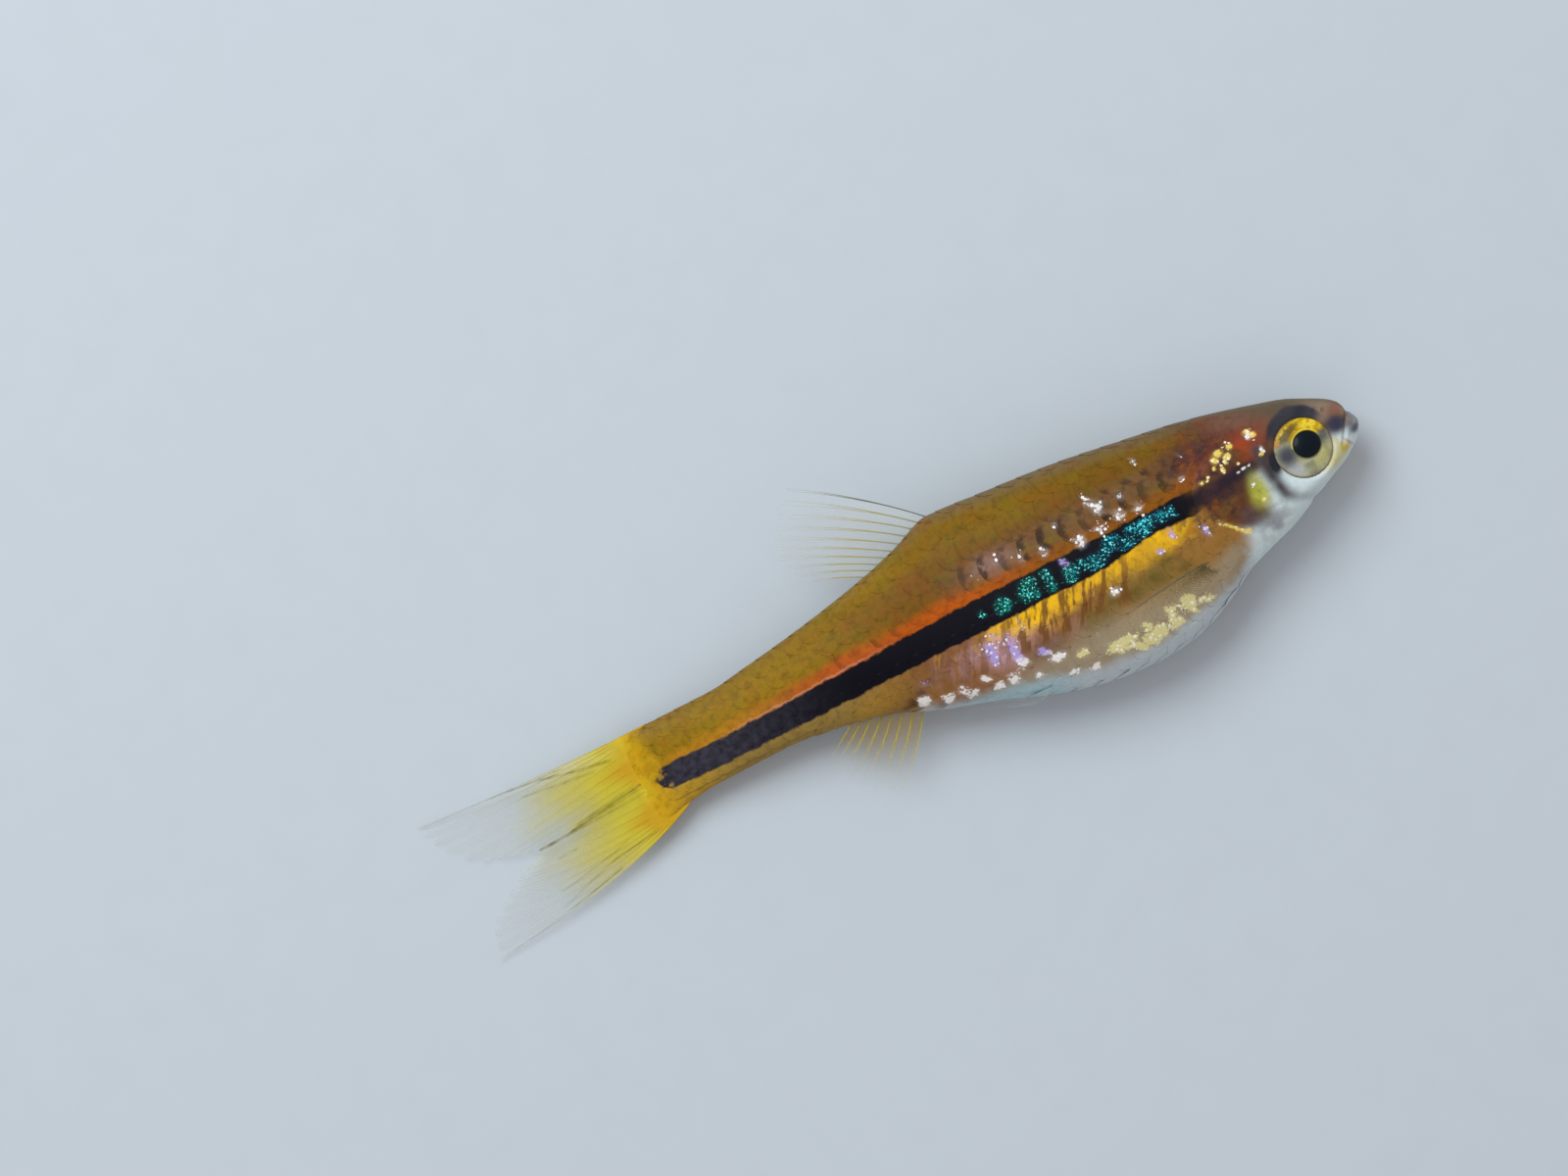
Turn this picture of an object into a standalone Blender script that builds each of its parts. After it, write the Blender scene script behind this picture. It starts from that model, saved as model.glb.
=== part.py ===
"""Brilliant rasbora, life size, lying on its left side as on the floor of a tray.

The fish is described in its own side view, in millimetres: s runs from the tip of the lower jaw to the tail,
y runs up from the level of the jaw tip to the back, and lateral is the distance from the middle plane of the fish.
In the world the head points to +X, the back to +Y and the right side, which is uppermost, to +Z. The floor is z = 0.
"""

import math

import bmesh
import bpy
import numpy as np
from mathutils import Matrix

MM = 0.001

# Driving sizes of the fish, in millimetres.
TOTAL_LENGTH = 70.0
CAUDAL_BASE = 53.4
JAW_TIP_Y = 0.35
LOWEST_Y, HIGHEST_Y = -8.15, 14.0
GAP = 0.3
HEAD_END = 10.8
TRUNK_END = 34.9
MEMBRANE = 0.25
RAY_RIDGE = 0.11
ROOT_DEPTH = 0.25
ROUND = 32
SHARP_ANGLE = 40

# The back, the belly, the half width and the level of the widest place, each at distances behind the jaw tip.
BACK = [(0, 0.35), (0.08, 0.62), (0.3, 0.98), (0.5, 1.35), (0.6, 1.75), (0.75, 2.05), (1.0, 2.3), (1.4, 2.6),
        (2.5, 3.2), (4, 3.9), (6, 4.5), (8, 5.05), (11, 5.75), (15, 6.4), (20, 7.15), (25, 7.6), (29.2, 7.9),
        (32, 6.95), (34.8, 6.15), (40, 5.1), (45, 4.35), (48, 4.0), (CAUDAL_BASE, 4.0)]
BELLY = [(0, 0.35), (0.08, 0.05), (0.3, -0.35), (0.6, -0.75), (1, -1.1), (2, -1.7), (3, -2.15), (5, -3.05),
         (7, -4.05), (9, -4.7), (11, -5.4), (13, -6.5), (15, -7.4), (17, -7.95), (19.5, -8.15), (22, -8.0),
         (25, -7.45), (28, -6.5), (31, -5.35), (34, -4.4), (37, -3.2), (40, -2.4), (45, -1.9), (50, -1.95),
         (CAUDAL_BASE, -2.3)]
HALF_WIDTH = [(0, 0), (0.08, 0.38), (0.3, 0.7), (0.6, 1.0), (1.2, 1.45), (2, 1.9), (3, 2.3), (4.5, 2.65), (6, 2.85),
              (8, 3.0), (11, 3.15), (15, 3.5), (20, 3.8), (24, 3.75), (28, 3.4), (32, 2.8), (36, 2.25), (40, 1.85),
              (45, 1.45), (50, 1.1), (CAUDAL_BASE, 0.75)]
WIDEST_Y = [(0, 0.35), (0.6, 0.5), (2, 0.5), (4.5, 0.4), (8, 0.2), (12, -0.3), (16, -1.2), (20, -1.8), (24, -1.6),
            (28, -0.7), (32, 0.2), (36, 0.8), (40, 1.1), (CAUDAL_BASE, 0.95)]
# The roundness of a section: 2 is an ellipse, and more is boxier.
FULLNESS = [(0, 2.0), (1.5, 2.3), (4.5, 2.8), (8, 2.6), (14, 2.2), (24, 2.1), (CAUDAL_BASE, 2.0)]
# The height of the middle plane over the floor: the tail sinks until the fin's tips are laid on it.
MIDDLE_Z = [(0, 3.42), (12, 3.5), (20, 3.55), (30, 3.55), (38, 3.2), (46, 2.3), (CAUDAL_BASE, 1.55), (60, 0.95),
            (66, 0.4), (TOTAL_LENGTH, 0.16)]

EYE_S, EYE_Y, EYE_LATERAL = 4.25, 0.3, 2.3
EYE_RADIUS, EYE_DEPTH = 2.15, 0.95
ORBIT_RIM = 0.26
NOSTRIL_S, NOSTRIL_Y, NOSTRIL_RADIUS = 2.0, 2.15, 0.3
LIP_RADIUS = 0.22

SKIN_BROWN = (0.42, 0.24, 0.06, 1.0)
HEAD_BROWN = (0.36, 0.22, 0.12, 1.0)
CHEEK_SILVER = (0.60, 0.58, 0.50, 1.0)
FIN_YELLOW = (0.78, 0.66, 0.16, 0.6)
FIN_CLEAR = (0.72, 0.72, 0.60, 0.5)
EYE_GOLD = (0.62, 0.50, 0.10, 1.0)


def smooth(keys):
    """A curve through the keys that never swings past them: cubic pieces with limited slopes."""
    x, y = np.array(keys, float).T
    step = np.diff(x)
    slope = np.diff(y) / step
    tangent = np.zeros(len(x))
    tangent[0], tangent[-1] = slope[0], slope[-1]
    same_way = slope[:-1] * slope[1:] > 0
    before, after = 2 * step[1:] + step[:-1], step[1:] + 2 * step[:-1]
    first = np.where(same_way, slope[:-1], 1.0)
    second = np.where(same_way, slope[1:], 1.0)
    mean = (before + after) / (before / first + after / second)
    tangent[1:-1] = np.where(same_way, mean, 0.0)

    def at(value):
        value = np.clip(np.asarray(value, float), x[0], x[-1])
        i = np.clip(np.searchsorted(x, value, side="right") - 1, 0, len(step) - 1)
        t = (value - x[i]) / step[i]
        rise = step[i] * ((t - 2 * t**2 + t**3) * tangent[i] + (t**3 - t**2) * tangent[i + 1])
        return (1 - 3 * t**2 + 2 * t**3) * y[i] + (3 * t**2 - 2 * t**3) * y[i + 1] + rise

    return at


back, belly, half_width = smooth(BACK), smooth(BELLY), smooth(HALF_WIDTH)
widest_y, fullness, middle_z = smooth(WIDEST_Y), smooth(FULLNESS), smooth(MIDDLE_Z)


def world(s, y, lateral):
    """Side-view millimetres to world metres. Nothing goes through the floor, so the flank lies flat on it."""
    s, y, lateral = np.broadcast_arrays(np.asarray(s, float), y, lateral)
    x = TOTAL_LENGTH / 2 - s
    z = np.maximum(middle_z(s) + lateral, 0)
    return np.stack([x, y - (LOWEST_Y + HIGHEST_Y) / 2, z], axis=-1) * MM


def flank(s, y):
    """The distance of the skin from the middle plane at a place of the side view."""
    mid = widest_y(s)
    half_height = np.where(y > mid, back(s) - mid, mid - belly(s))
    share = np.clip(np.abs(y - mid) / np.maximum(half_height, 1e-6), 0, 1)
    n = fullness(s)
    return half_width(s) * (1 - share**n) ** (1 / n)


def ring(s, count=ROUND):
    """One section of the body, as (s, y, lateral) all the way round from the back."""
    angle = np.arange(count) / count * 2 * math.pi
    power = 2 / fullness(s)
    up, out = np.cos(angle), np.sin(angle)
    mid = widest_y(s)
    reach = np.where(up > 0, back(s) - mid, mid - belly(s))
    y = mid + reach * np.sign(up) * np.abs(up) ** power
    lateral = half_width(s) * np.sign(out) * np.abs(out) ** power
    return np.stack([np.full(count, s), y, lateral], axis=-1)


def material(name, colour, roughness=0.35):
    made = bpy.data.materials.new(name)
    made.use_nodes = True
    shader = made.node_tree.nodes["Principled BSDF"]
    shader.inputs["Base Color"].default_value = colour
    shader.inputs["Roughness"].default_value = roughness
    shader.inputs["Metallic"].default_value = 0.0
    shader.inputs["Alpha"].default_value = colour[3]
    return made


def new_object(name, points, faces, finish, collection):
    mesh = bpy.data.meshes.new(name)
    mesh.from_pydata([tuple(p) for p in points], [], faces)
    shaped = bmesh.new()
    shaped.from_mesh(mesh)
    bmesh.ops.recalc_face_normals(shaped, faces=shaped.faces)
    shaped.to_mesh(mesh)
    shaped.free()
    made = bpy.data.objects.new(name, mesh)
    if finish:
        mesh.materials.append(finish)
    collection.objects.link(made)
    return made


def loft(name, stations, finish, collection, tip=None):
    """A closed body through rings at the stations. With a tip, the first end runs to that one point."""
    rings = [ring(s) for s in stations]
    points = [world(*r.T) for r in rings]
    count = ROUND
    faces = []
    for i in range(len(rings) - 1):
        for j in range(count):
            k = (j + 1) % count
            faces.append((i * count + j, i * count + k, (i + 1) * count + k, (i + 1) * count + j))
    flat = list(np.concatenate(points))
    for end, at_front in ((0, True), (len(rings) - 1, False)):
        centre = world(*tip) if tip is not None and at_front else np.mean(points[end], axis=0)
        flat.append(centre)
        for j in range(count):
            faces.append((end * count + j, end * count + (j + 1) % count, len(flat) - 1))
    return new_object(name, flat, faces, finish, collection)


def plate(name, upper, lower, finish, collection):
    """A closed plate between two like grids of points, cut into the same triangles on both faces."""
    rows, columns = upper.shape[:2]
    size = rows * columns
    points = np.concatenate([upper.reshape(-1, 3), lower.reshape(-1, 3)])
    faces = []
    for i in range(rows - 1):
        for j in range(columns - 1):
            a, b = i * columns + j, i * columns + j + 1
            c, d = a + columns, b + columns
            for tri in ((a, b, d), (a, d, c)):
                faces.append(tri)
                faces.append(tuple(size + v for v in reversed(tri)))
    rim = list(range(columns))
    rim += [i * columns + columns - 1 for i in range(1, rows)]
    rim += [(rows - 1) * columns + j for j in range(columns - 2, -1, -1)]
    rim += [i * columns for i in range(rows - 2, 0, -1)]
    for here, after in zip(rim, rim[1:] + rim[:1]):
        faces.append((here, size + here, size + after))
        faces.append((here, size + after, after))
    return new_object(name, points, faces, finish, collection)


def along(keys, t):
    """Points on smooth curves through keys that are spread evenly over 0 to 1."""
    keys = np.array(keys, float)
    spots = np.linspace(0, 1, len(keys))
    return np.stack([smooth(list(zip(spots, keys[:, k])))(t) for k in range(keys.shape[1])], axis=-1)


def fan(roots, bends, tips, rays, rows):
    """The grid of a rayed fin, as (u, lateral share of a ray, places). Each ray is a bent line from root to tip."""
    columns = 2 * rays - 1
    across = np.linspace(0, 1, columns)
    root, bend, tip = along(roots, across), along(bends, across), along(tips, across)
    between = np.arange(columns) % 2 == 1
    u = np.linspace(0, 1, rows)[:, None, None] * np.where(between, 0.97, 1.0)[None, :, None]
    places = (1 - u) ** 2 * root + 2 * u * (1 - u) * bend + u**2 * tip
    return u[..., 0], (~between).astype(float), places


def half_thickness(u, on_ray):
    """Half the thickness of a fin: a membrane that thins to its edge, with a ridge along every ray."""
    return MEMBRANE * (1 - 0.45 * u**3) + RAY_RIDGE * (1 - 0.6 * u) * on_ray


def middle_fin(name, roots, bends, tips, rays, rows, droop, finish, collection):
    """A fin on the middle plane. Its outer part droops a little toward the floor."""
    u, on_ray, place = fan(roots, bends, tips, rays, rows)
    half = half_thickness(u, on_ray)
    s, y = place[..., 0], place[..., 1]
    sink = -droop * u**2
    low = np.maximum(middle_z(s) + sink - half, 0) - middle_z(s)
    return plate(name, world(s, y, low + 2 * half), world(s, y, low), finish, collection)


def side_fin(name, side, roots, bends, tips, rays, rows, spread, finish, collection, grow=0.0):
    """A fin that lies along the flank, off the skin by the gap at its root and by a little more at its tips."""
    u, on_ray, place = fan(roots, bends, tips, rays, rows)
    half = half_thickness(u, on_ray) * 1.15 + grow
    s, y = place[..., 0], place[..., 1]
    clear = GAP + 1.15 * (MEMBRANE + RAY_RIDGE)
    middle = flank(s, y) - ROOT_DEPTH + (clear + ROOT_DEPTH) * np.minimum(u / 0.4, 1) + spread * u**2
    inner, outer = side * (middle - half), side * (middle + half)
    if side < 0:
        deepest = np.maximum(outer, 0.02 - middle_z(s))
        inner = inner + deepest - outer
        outer = deepest
    return plate(name, world(s, y, outer), world(s, y, inner), finish, collection)


def joined(target, tools, operation="UNION"):
    """Joins to, or cuts from, target the tools, which are then removed, and keeps the largest closed surface."""
    held = bpy.data.collections.new(target.name + "_tools")
    bpy.context.scene.collection.children.link(held)
    for tool in tools:
        for home in list(tool.users_collection):
            home.objects.unlink(tool)
        held.objects.link(tool)
    change = target.modifiers.new("join", "BOOLEAN")
    change.operation = operation
    change.solver = "EXACT"
    change.operand_type = "COLLECTION"
    change.collection = held
    graph = bpy.context.evaluated_depsgraph_get()
    mesh = bpy.data.meshes.new_from_object(target.evaluated_get(graph))
    target.modifiers.clear()
    target.data = mesh
    for tool in tools:
        bpy.data.objects.remove(tool)
    bpy.data.collections.remove(held)
    keep_largest(mesh)
    return target


def keep_largest(mesh):
    """Drops every closed surface but the one that holds most."""
    shaped = bmesh.new()
    shaped.from_mesh(mesh)
    bmesh.ops.remove_doubles(shaped, verts=shaped.verts, dist=1e-7)
    bmesh.ops.triangulate(shaped, faces=shaped.faces)
    left = set(shaped.faces)
    shells = []
    while left:
        shell, front = set(), [next(iter(left))]
        while front:
            face = front.pop()
            if face in shell:
                continue
            shell.add(face)
            front += [f for edge in face.edges for f in edge.link_faces if f not in shell]
        left -= shell
        volume = sum(f.verts[0].co.dot(f.verts[1].co.cross(f.verts[2].co)) for f in shell) / 6
        shells.append((abs(volume), shell))
    shells.sort(key=lambda pair: pair[0], reverse=True)
    for _, shell in shells[1:]:
        bmesh.ops.delete(shaped, geom=list({v for f in shell for v in f.verts}), context="VERTS")
    shaped.to_mesh(mesh)
    shaped.free()


def prism(name, outline, half_depth, collection):
    """A side-view outline carried straight through the head."""
    s, y = np.array(outline, float).T
    count = len(outline)
    points = np.concatenate([world(s, y, side * half_depth) for side in (1, -1)])
    points[:count, 2] = middle_z(0) * MM + half_depth * MM
    points[count:, 2] = middle_z(0) * MM - half_depth * MM
    faces = [tuple(range(count)), tuple(range(2 * count - 1, count - 1, -1))]
    faces += [(j, (j + 1) % count, count + (j + 1) % count, count + j) for j in range(count)]
    return new_object(name, points, faces, None, collection)


def ball(name, centre, radii, collection, finish=None, turns=24, steps=12):
    bpy.ops.mesh.primitive_uv_sphere_add(segments=turns, ring_count=steps, radius=1.0)
    made = bpy.context.active_object
    made.name = made.data.name = name
    place = world(*centre)
    for vertex in made.data.vertices:
        vertex.co = [place[k] + vertex.co[k] * radii[k] * MM for k in range(3)]
    move_to(made, collection)
    if finish:
        made.data.materials.append(finish)
    return made


def move_to(made, collection):
    for home in list(made.users_collection):
        home.objects.unlink(made)
    collection.objects.link(made)


def tube(name, points, radius, collection):
    """A closed rounded wire through world points."""
    curve = bpy.data.curves.new(name, "CURVE")
    curve.dimensions = "3D"
    curve.bevel_depth = radius * MM
    curve.bevel_resolution = 2
    curve.use_fill_caps = True
    line = curve.splines.new("POLY")
    line.points.add(len(points) - 1)
    for step, (spot, place) in enumerate(zip(line.points, points)):
        spot.co = (*place, 1)
        spot.radius = min(1.0, 0.4 + 0.2 * min(step, len(points) - 1 - step))
    wire = bpy.data.objects.new(name, curve)
    collection.objects.link(wire)
    graph = bpy.context.evaluated_depsgraph_get()
    mesh = bpy.data.meshes.new_from_object(wire.evaluated_get(graph))
    bpy.data.objects.remove(wire)
    shaped = bmesh.new()
    shaped.from_mesh(mesh)
    bmesh.ops.remove_doubles(shaped, verts=shaped.verts, dist=1e-6)
    bmesh.ops.recalc_face_normals(shaped, faces=shaped.faces)
    shaped.to_mesh(mesh)
    shaped.free()
    made = bpy.data.objects.new(name, mesh)
    collection.objects.link(made)
    return made


# The mouth: the outline that the lower jaw fills, seen from the side, and its gape line from corner to front.
JAW_OUTLINE = [(-1, 1.6), (0.28, 1.0), (0.6, 0.5), (1.0, -0.1), (1.45, -0.75), (1.85, -1.2), (2.4, -1.55),
               (2.75, -2.9), (-1, -3.2)]
HEAD_CUT = [(-1, 1.95), (0.42, 1.28), (0.86, 0.68), (1.25, 0.08), (1.68, -0.55), (2.02, -0.93), (2.65, -1.28),
            (3.08, -3.1), (-1, -3.4)]
UPPER_LIP = [(1.98, -0.72), (1.7, -0.42), (1.3, 0.17), (0.98, 0.75), (0.74, 1.16)]
LOWER_LIP = [(1.75, -1.28), (1.35, -0.82), (0.9, -0.2), (0.5, 0.38), (0.28, 0.72)]


def lip(name, line, collection):
    """A rounded rim that follows the mouth from one corner round the front to the other."""
    run = along(line, np.linspace(0, 1, 9))
    right = [(s, y, float(flank(s, y)) - 0.4 * LIP_RADIUS) for s, y in run]
    front_s, front_y, front_lateral = right[-1]
    nose = [(front_s - 0.06, front_y + 0.02, front_lateral * 0.45), (front_s - 0.08, front_y + 0.03, 0.0)]
    half = right + nose
    path = half + [(s, y, -lateral) for s, y, lateral in reversed(half[:-1])]
    return tube(name, [world(*p) for p in path], LIP_RADIUS, collection)


def orbit_rim(side, collection):
    """The ring of the orbit, a little proud of the cheek."""
    bpy.ops.mesh.primitive_torus_add(
        major_segments=26, minor_segments=6, major_radius=EYE_RADIUS + 0.2, minor_radius=ORBIT_RIM
    )
    made = bpy.context.active_object
    place = world(EYE_S, EYE_Y, side * (EYE_LATERAL - 0.28))
    for vertex in made.data.vertices:
        vertex.co = [place[k] + vertex.co[k] * MM for k in range(3)]
    move_to(made, collection)
    return made


# The gill cover seen from the side: the line where it starts, on the cheek, and its free rear edge.
COVER_FRONT = [(9.3, 2.55), (8.0, 1.5), (7.35, 0.2), (7.1, -1.0), (6.95, -2.1), (6.7, -2.9)]
COVER_REAR = [(10.0, 2.6), (12.0, 1.7), (12.6, 0.2), (12.2, -1.4), (10.7, -2.8), (8.3, -3.6)]


def skin_normal(s, y, side):
    """The outward direction of the skin at a place of the side view, as (s, y, lateral)."""
    step = 0.05
    out_s = -(flank(s + step, y) - flank(s - step, y)) / (2 * step)
    out_y = -(flank(s, y + step) - flank(s, y - step)) / (2 * step)
    normal = np.stack([out_s, out_y, np.ones_like(out_s)], axis=-1)
    normal /= np.linalg.norm(normal, axis=-1, keepdims=True)
    normal[..., 2] *= side
    return normal


def gill_cover(name, side, finish, collection, grow=0.0):
    """A bony plate let into the side of the head, with its rear edge standing a little proud."""
    rows, columns = 13, 9
    v = np.linspace(0, 1, rows)
    front, rear = along(COVER_FRONT, v), along(COVER_REAR, v)
    u = np.linspace(0, 1, columns)[None, :, None]
    place = front[:, None] * (1 - u) + rear[:, None] * u
    if grow:
        centre = place.mean(axis=(0, 1))
        outward = place - centre
        place = place + grow * 1.25 * outward / np.linalg.norm(outward, axis=-1, keepdims=True)
    s, y = place[..., 0], place[..., 1]
    normal = skin_normal(s, y, side)
    skin = np.stack([s, y, side * flank(s, y)], axis=-1)
    proud = 0.04 + 0.2 * u * np.ones((rows, 1, 1))
    outer = skin + normal * (1.2 if grow else proud)
    inner = skin - normal * (0.46 + grow)
    return plate(name, world(*np.moveaxis(outer, -1, 0)), world(*np.moveaxis(inner, -1, 0)), finish, collection)


def head_and_jaw(finish, jaw_finish, parts, tools):
    stations = [0.03, 0.12, 0.25, 0.4, 0.52, 0.62, 0.75, 0.95, 1.25, 1.6, 2.0, 2.5, 3.1, 3.8, 4.6, 5.5, 6.5, 7.6,
                8.7, 9.8, HEAD_END]
    tip = (0, JAW_TIP_Y, 0)
    head = loft("head", stations, finish, parts, tip)
    jaw = loft("lower_jaw", stations[:14], jaw_finish, parts, tip)
    joined(jaw, [prism("jaw_space", JAW_OUTLINE, 4, tools)], "INTERSECT")
    joined(jaw, [lip("lower_lip", LOWER_LIP, tools)])
    joined(head, [prism("jaw_cut", HEAD_CUT, 4, tools)], "DIFFERENCE")
    joined(head, [lip("upper_lip", UPPER_LIP, tools)] + [orbit_rim(side, tools) for side in (1, -1)])
    cutters = []
    for side in (1, -1):
        grown = (EYE_RADIUS + GAP, EYE_RADIUS + GAP, EYE_DEPTH + GAP)
        cutters.append(ball("socket", (EYE_S, EYE_Y, side * EYE_LATERAL), grown, tools))
        pit = (NOSTRIL_S, NOSTRIL_Y, side * (float(flank(NOSTRIL_S, NOSTRIL_Y)) + 0.05))
        cutters.append(ball("nostril", pit, (NOSTRIL_RADIUS * 1.3, NOSTRIL_RADIUS, NOSTRIL_RADIUS), tools, None, 10, 6))
        cutters.append(gill_cover("cover_space", side, None, tools, GAP))
    joined(head, cutters, "DIFFERENCE")


def eyes(finish, parts):
    for name, side in (("eye_right", 1), ("eye_left", -1)):
        ball(name, (EYE_S, EYE_Y, side * EYE_LATERAL), (EYE_RADIUS, EYE_RADIUS, EYE_DEPTH), parts, finish, 26, 12)


# The paired fins seen from the side: roots, bends and tips of their rays from the leading ray on.
PECTORAL_ROOT = [(12.9, -3.3), (12.75, -3.75), (12.5, -4.3)]
PECTORAL_BEND = [(17.0, -3.5), (16.5, -4.2), (15.4, -5.0)]
PECTORAL_TIP = [(21.6, -4.35), (21.0, -5.1), (19.6, -5.6), (17.3, -5.9)]
UNDER_PECTORAL_BEND = [(17.0, -4.2), (16.5, -4.9), (15.4, -5.4)]
UNDER_PECTORAL_TIP = [(21.3, -5.6), (20.6, -6.2), (19.2, -6.5), (17.2, -6.5)]
PECTORAL_RAYS = 9


def pectoral(name, side, finish, collection, grow=0.0):
    bends = PECTORAL_BEND if side > 0 else UNDER_PECTORAL_BEND
    tips = PECTORAL_TIP if side > 0 else UNDER_PECTORAL_TIP
    return side_fin(name, side, PECTORAL_ROOT, bends, tips, PECTORAL_RAYS, 8, 0.25, finish, collection, grow)


PELVIC_ROOT_S, PELVIC_ROOT_LATERAL = 26.0, 1.15
PELVIC_LENGTH = 7.2
PELVIC_RAYS = 7


def pelvic(name, side, finish, collection, grow=0.0):
    """A small fin folded back along the belly, with its root sunk in the belly's underside."""
    u, on_ray, place = fan(
        [(0.0, 0.0), (0.35, -0.5), (0.9, -0.9)],
        [(3.6, 0.5), (3.3, -0.35), (2.6, -0.95)],
        [(PELVIC_LENGTH, 0.9), (PELVIC_LENGTH - 0.6, -0.1), (5.6, -0.85), (4.1, -1.15)],
        PELVIC_RAYS, 7,
    )
    half = half_thickness(u, on_ray) + grow
    s = PELVIC_ROOT_S + place[..., 0]
    lateral = side * (PELVIC_ROOT_LATERAL + place[..., 1])
    under = belly(s) + (widest_y(s) - belly(s)) * (1 - np.sqrt(np.maximum(1 - (lateral / half_width(s)) ** 2, 0)))
    clear = GAP + MEMBRANE + RAY_RIDGE
    y = under + ROOT_DEPTH - (clear + ROOT_DEPTH) * np.minimum(u / 0.4, 1) - 0.1 * u
    return plate(name, world(s, y - half, lateral), world(s, y + half, lateral), finish, collection)


def on_back(s, lift=0.0):
    return (s, float(back(s)) + lift)


def on_belly(s, drop=0.0):
    return (s, float(belly(s)) - drop)


DORSAL_START, DORSAL_END = 29.1, 34.7
DORSAL_TIP = [(36.8, 13.95), (38.3, 12.3), (39.2, 10.9), (39.4, 9.3), (38.0, 7.4)]
DORSAL_BEND = [(32.6, 11.3), (33.9, 10.2), (35.2, 9.1), (36.1, 8.1), (36.2, 6.95)]
DORSAL_RAYS = 10
ANAL_START, ANAL_END = 35.3, 40.0
ANAL_TIP = [(39.0, -8.0), (40.5, -7.3), (41.7, -6.1), (42.3, -4.8), (42.4, -3.7)]
ANAL_BEND = [(36.9, -6.2), (38.2, -5.6), (39.4, -4.8), (40.5, -4.0), (41.3, -3.15)]
ANAL_RAYS = 8
CAUDAL_ROOT = [(53.3, 4.32), (53.75, 3.9), (53.75, 2.3), (53.75, 0.7), (53.75, -0.9), (53.75, -2.35), (53.45, -2.65),
               (52.4, -2.55)]
CAUDAL_BEND = [(60.5, 3.8), (60.4, 3.0), (59.6, 1.5), (58.7, 0.4), (59.2, -1.1), (60.0, -2.8), (60.3, -4.0),
               (59.8, -4.5)]
CAUDAL_TIP = [(TOTAL_LENGTH, 4.7), (69.3, 3.1), (67.4, 0.95), (65.0, 0.05), (63.1, -0.35), (64.6, -1.2),
              (66.7, -2.3), (68.4, -3.8), (69.0, -5.6)]
CAUDAL_RAYS = 19


def middle_fins(finish, parts):
    places = np.linspace(DORSAL_START, DORSAL_END, 5)
    roots = [on_back(s, GAP) for s in places]
    middle_fin("dorsal_fin", roots, DORSAL_BEND, DORSAL_TIP, DORSAL_RAYS, 9, 0.9, finish, parts)
    places = np.linspace(ANAL_START, ANAL_END, 5)
    roots = [on_belly(s, GAP) for s in places]
    middle_fin("anal_fin", roots, ANAL_BEND, ANAL_TIP, ANAL_RAYS, 7, 1.0, finish, parts)
    middle_fin("caudal_fin", CAUDAL_ROOT, CAUDAL_BEND, CAUDAL_TIP, CAUDAL_RAYS, 12, 0.0, finish, parts)


def trunk_and_tail(finish, fin_finish, parts, tools):
    trunk = loft("trunk", np.linspace(HEAD_END + GAP, TRUNK_END, 22), finish, parts)
    cutters = [gill_cover("cover_space", side, None, tools, GAP) for side in (1, -1)]
    for side in (1, -1):
        cutters.append(pectoral("fin_space", side, None, tools, GAP))
        cutters.append(pelvic("fin_space", side, None, tools, GAP))
    joined(trunk, cutters, "DIFFERENCE")
    loft("tail", np.linspace(TRUNK_END + GAP, CAUDAL_BASE, 12), finish, parts)
    for name, side in (("pectoral_fin_right", 1), ("pectoral_fin_left", -1)):
        pectoral(name, side, fin_finish, parts)
    for name, side in (("pelvic_fin_right", 1), ("pelvic_fin_left", -1)):
        pelvic(name, side, fin_finish, parts)


def hang_on_empty(parts):
    """Gives every part an origin on the floor below its middle, and one empty as parent."""
    root = bpy.data.objects.new("fish_root", None)
    parts.objects.link(root)
    for made in [o for o in parts.objects if o.type == "MESH"]:
        corners = np.array([corner[:] for corner in made.bound_box])
        middle = (corners.min(axis=0) + corners.max(axis=0)) / 2
        made.data.transform(Matrix.Translation((-middle[0], -middle[1], 0)))
        made.location = (middle[0], middle[1], 0)
        made.parent = root


def main():
    for old in list(bpy.data.objects):
        bpy.data.objects.remove(old)
    parts = bpy.data.collections.new("brilliant_rasbora")
    tools = bpy.data.collections.new("cutters")
    for group in (parts, tools):
        bpy.context.scene.collection.children.link(group)
    skin = material("flank_skin", SKIN_BROWN)
    head_skin = material("head_skin", HEAD_BROWN)
    cheek = material("cheek_silver", CHEEK_SILVER)
    yellow = material("yellow_fin", FIN_YELLOW)
    clear = material("clear_fin", FIN_CLEAR)
    gold = material("gold_eye", EYE_GOLD, 0.1)
    head_and_jaw(head_skin, head_skin, parts, tools)
    eyes(gold, parts)
    for name, side in (("gill_cover_right", 1), ("gill_cover_left", -1)):
        gill_cover(name, side, cheek, parts)
    trunk_and_tail(skin, clear, parts, tools)
    middle_fins(yellow, parts)
    bpy.data.collections.remove(tools)
    for made in parts.objects:
        made.data.shade_smooth()
        made.data.set_sharp_from_angle(angle=math.radians(SHARP_ANGLE))
    hang_on_empty(parts)


main()
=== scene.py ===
"""The looks of a life-size brilliant rasbora that lies on its side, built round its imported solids.

Lengths in the functions are millimetres in the fish's own side view: s runs from the tip of the lower jaw
towards the tail, y from the level of the jaw tip up to the back, and lateral from the middle plane out to a
flank.
"""

import math

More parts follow.
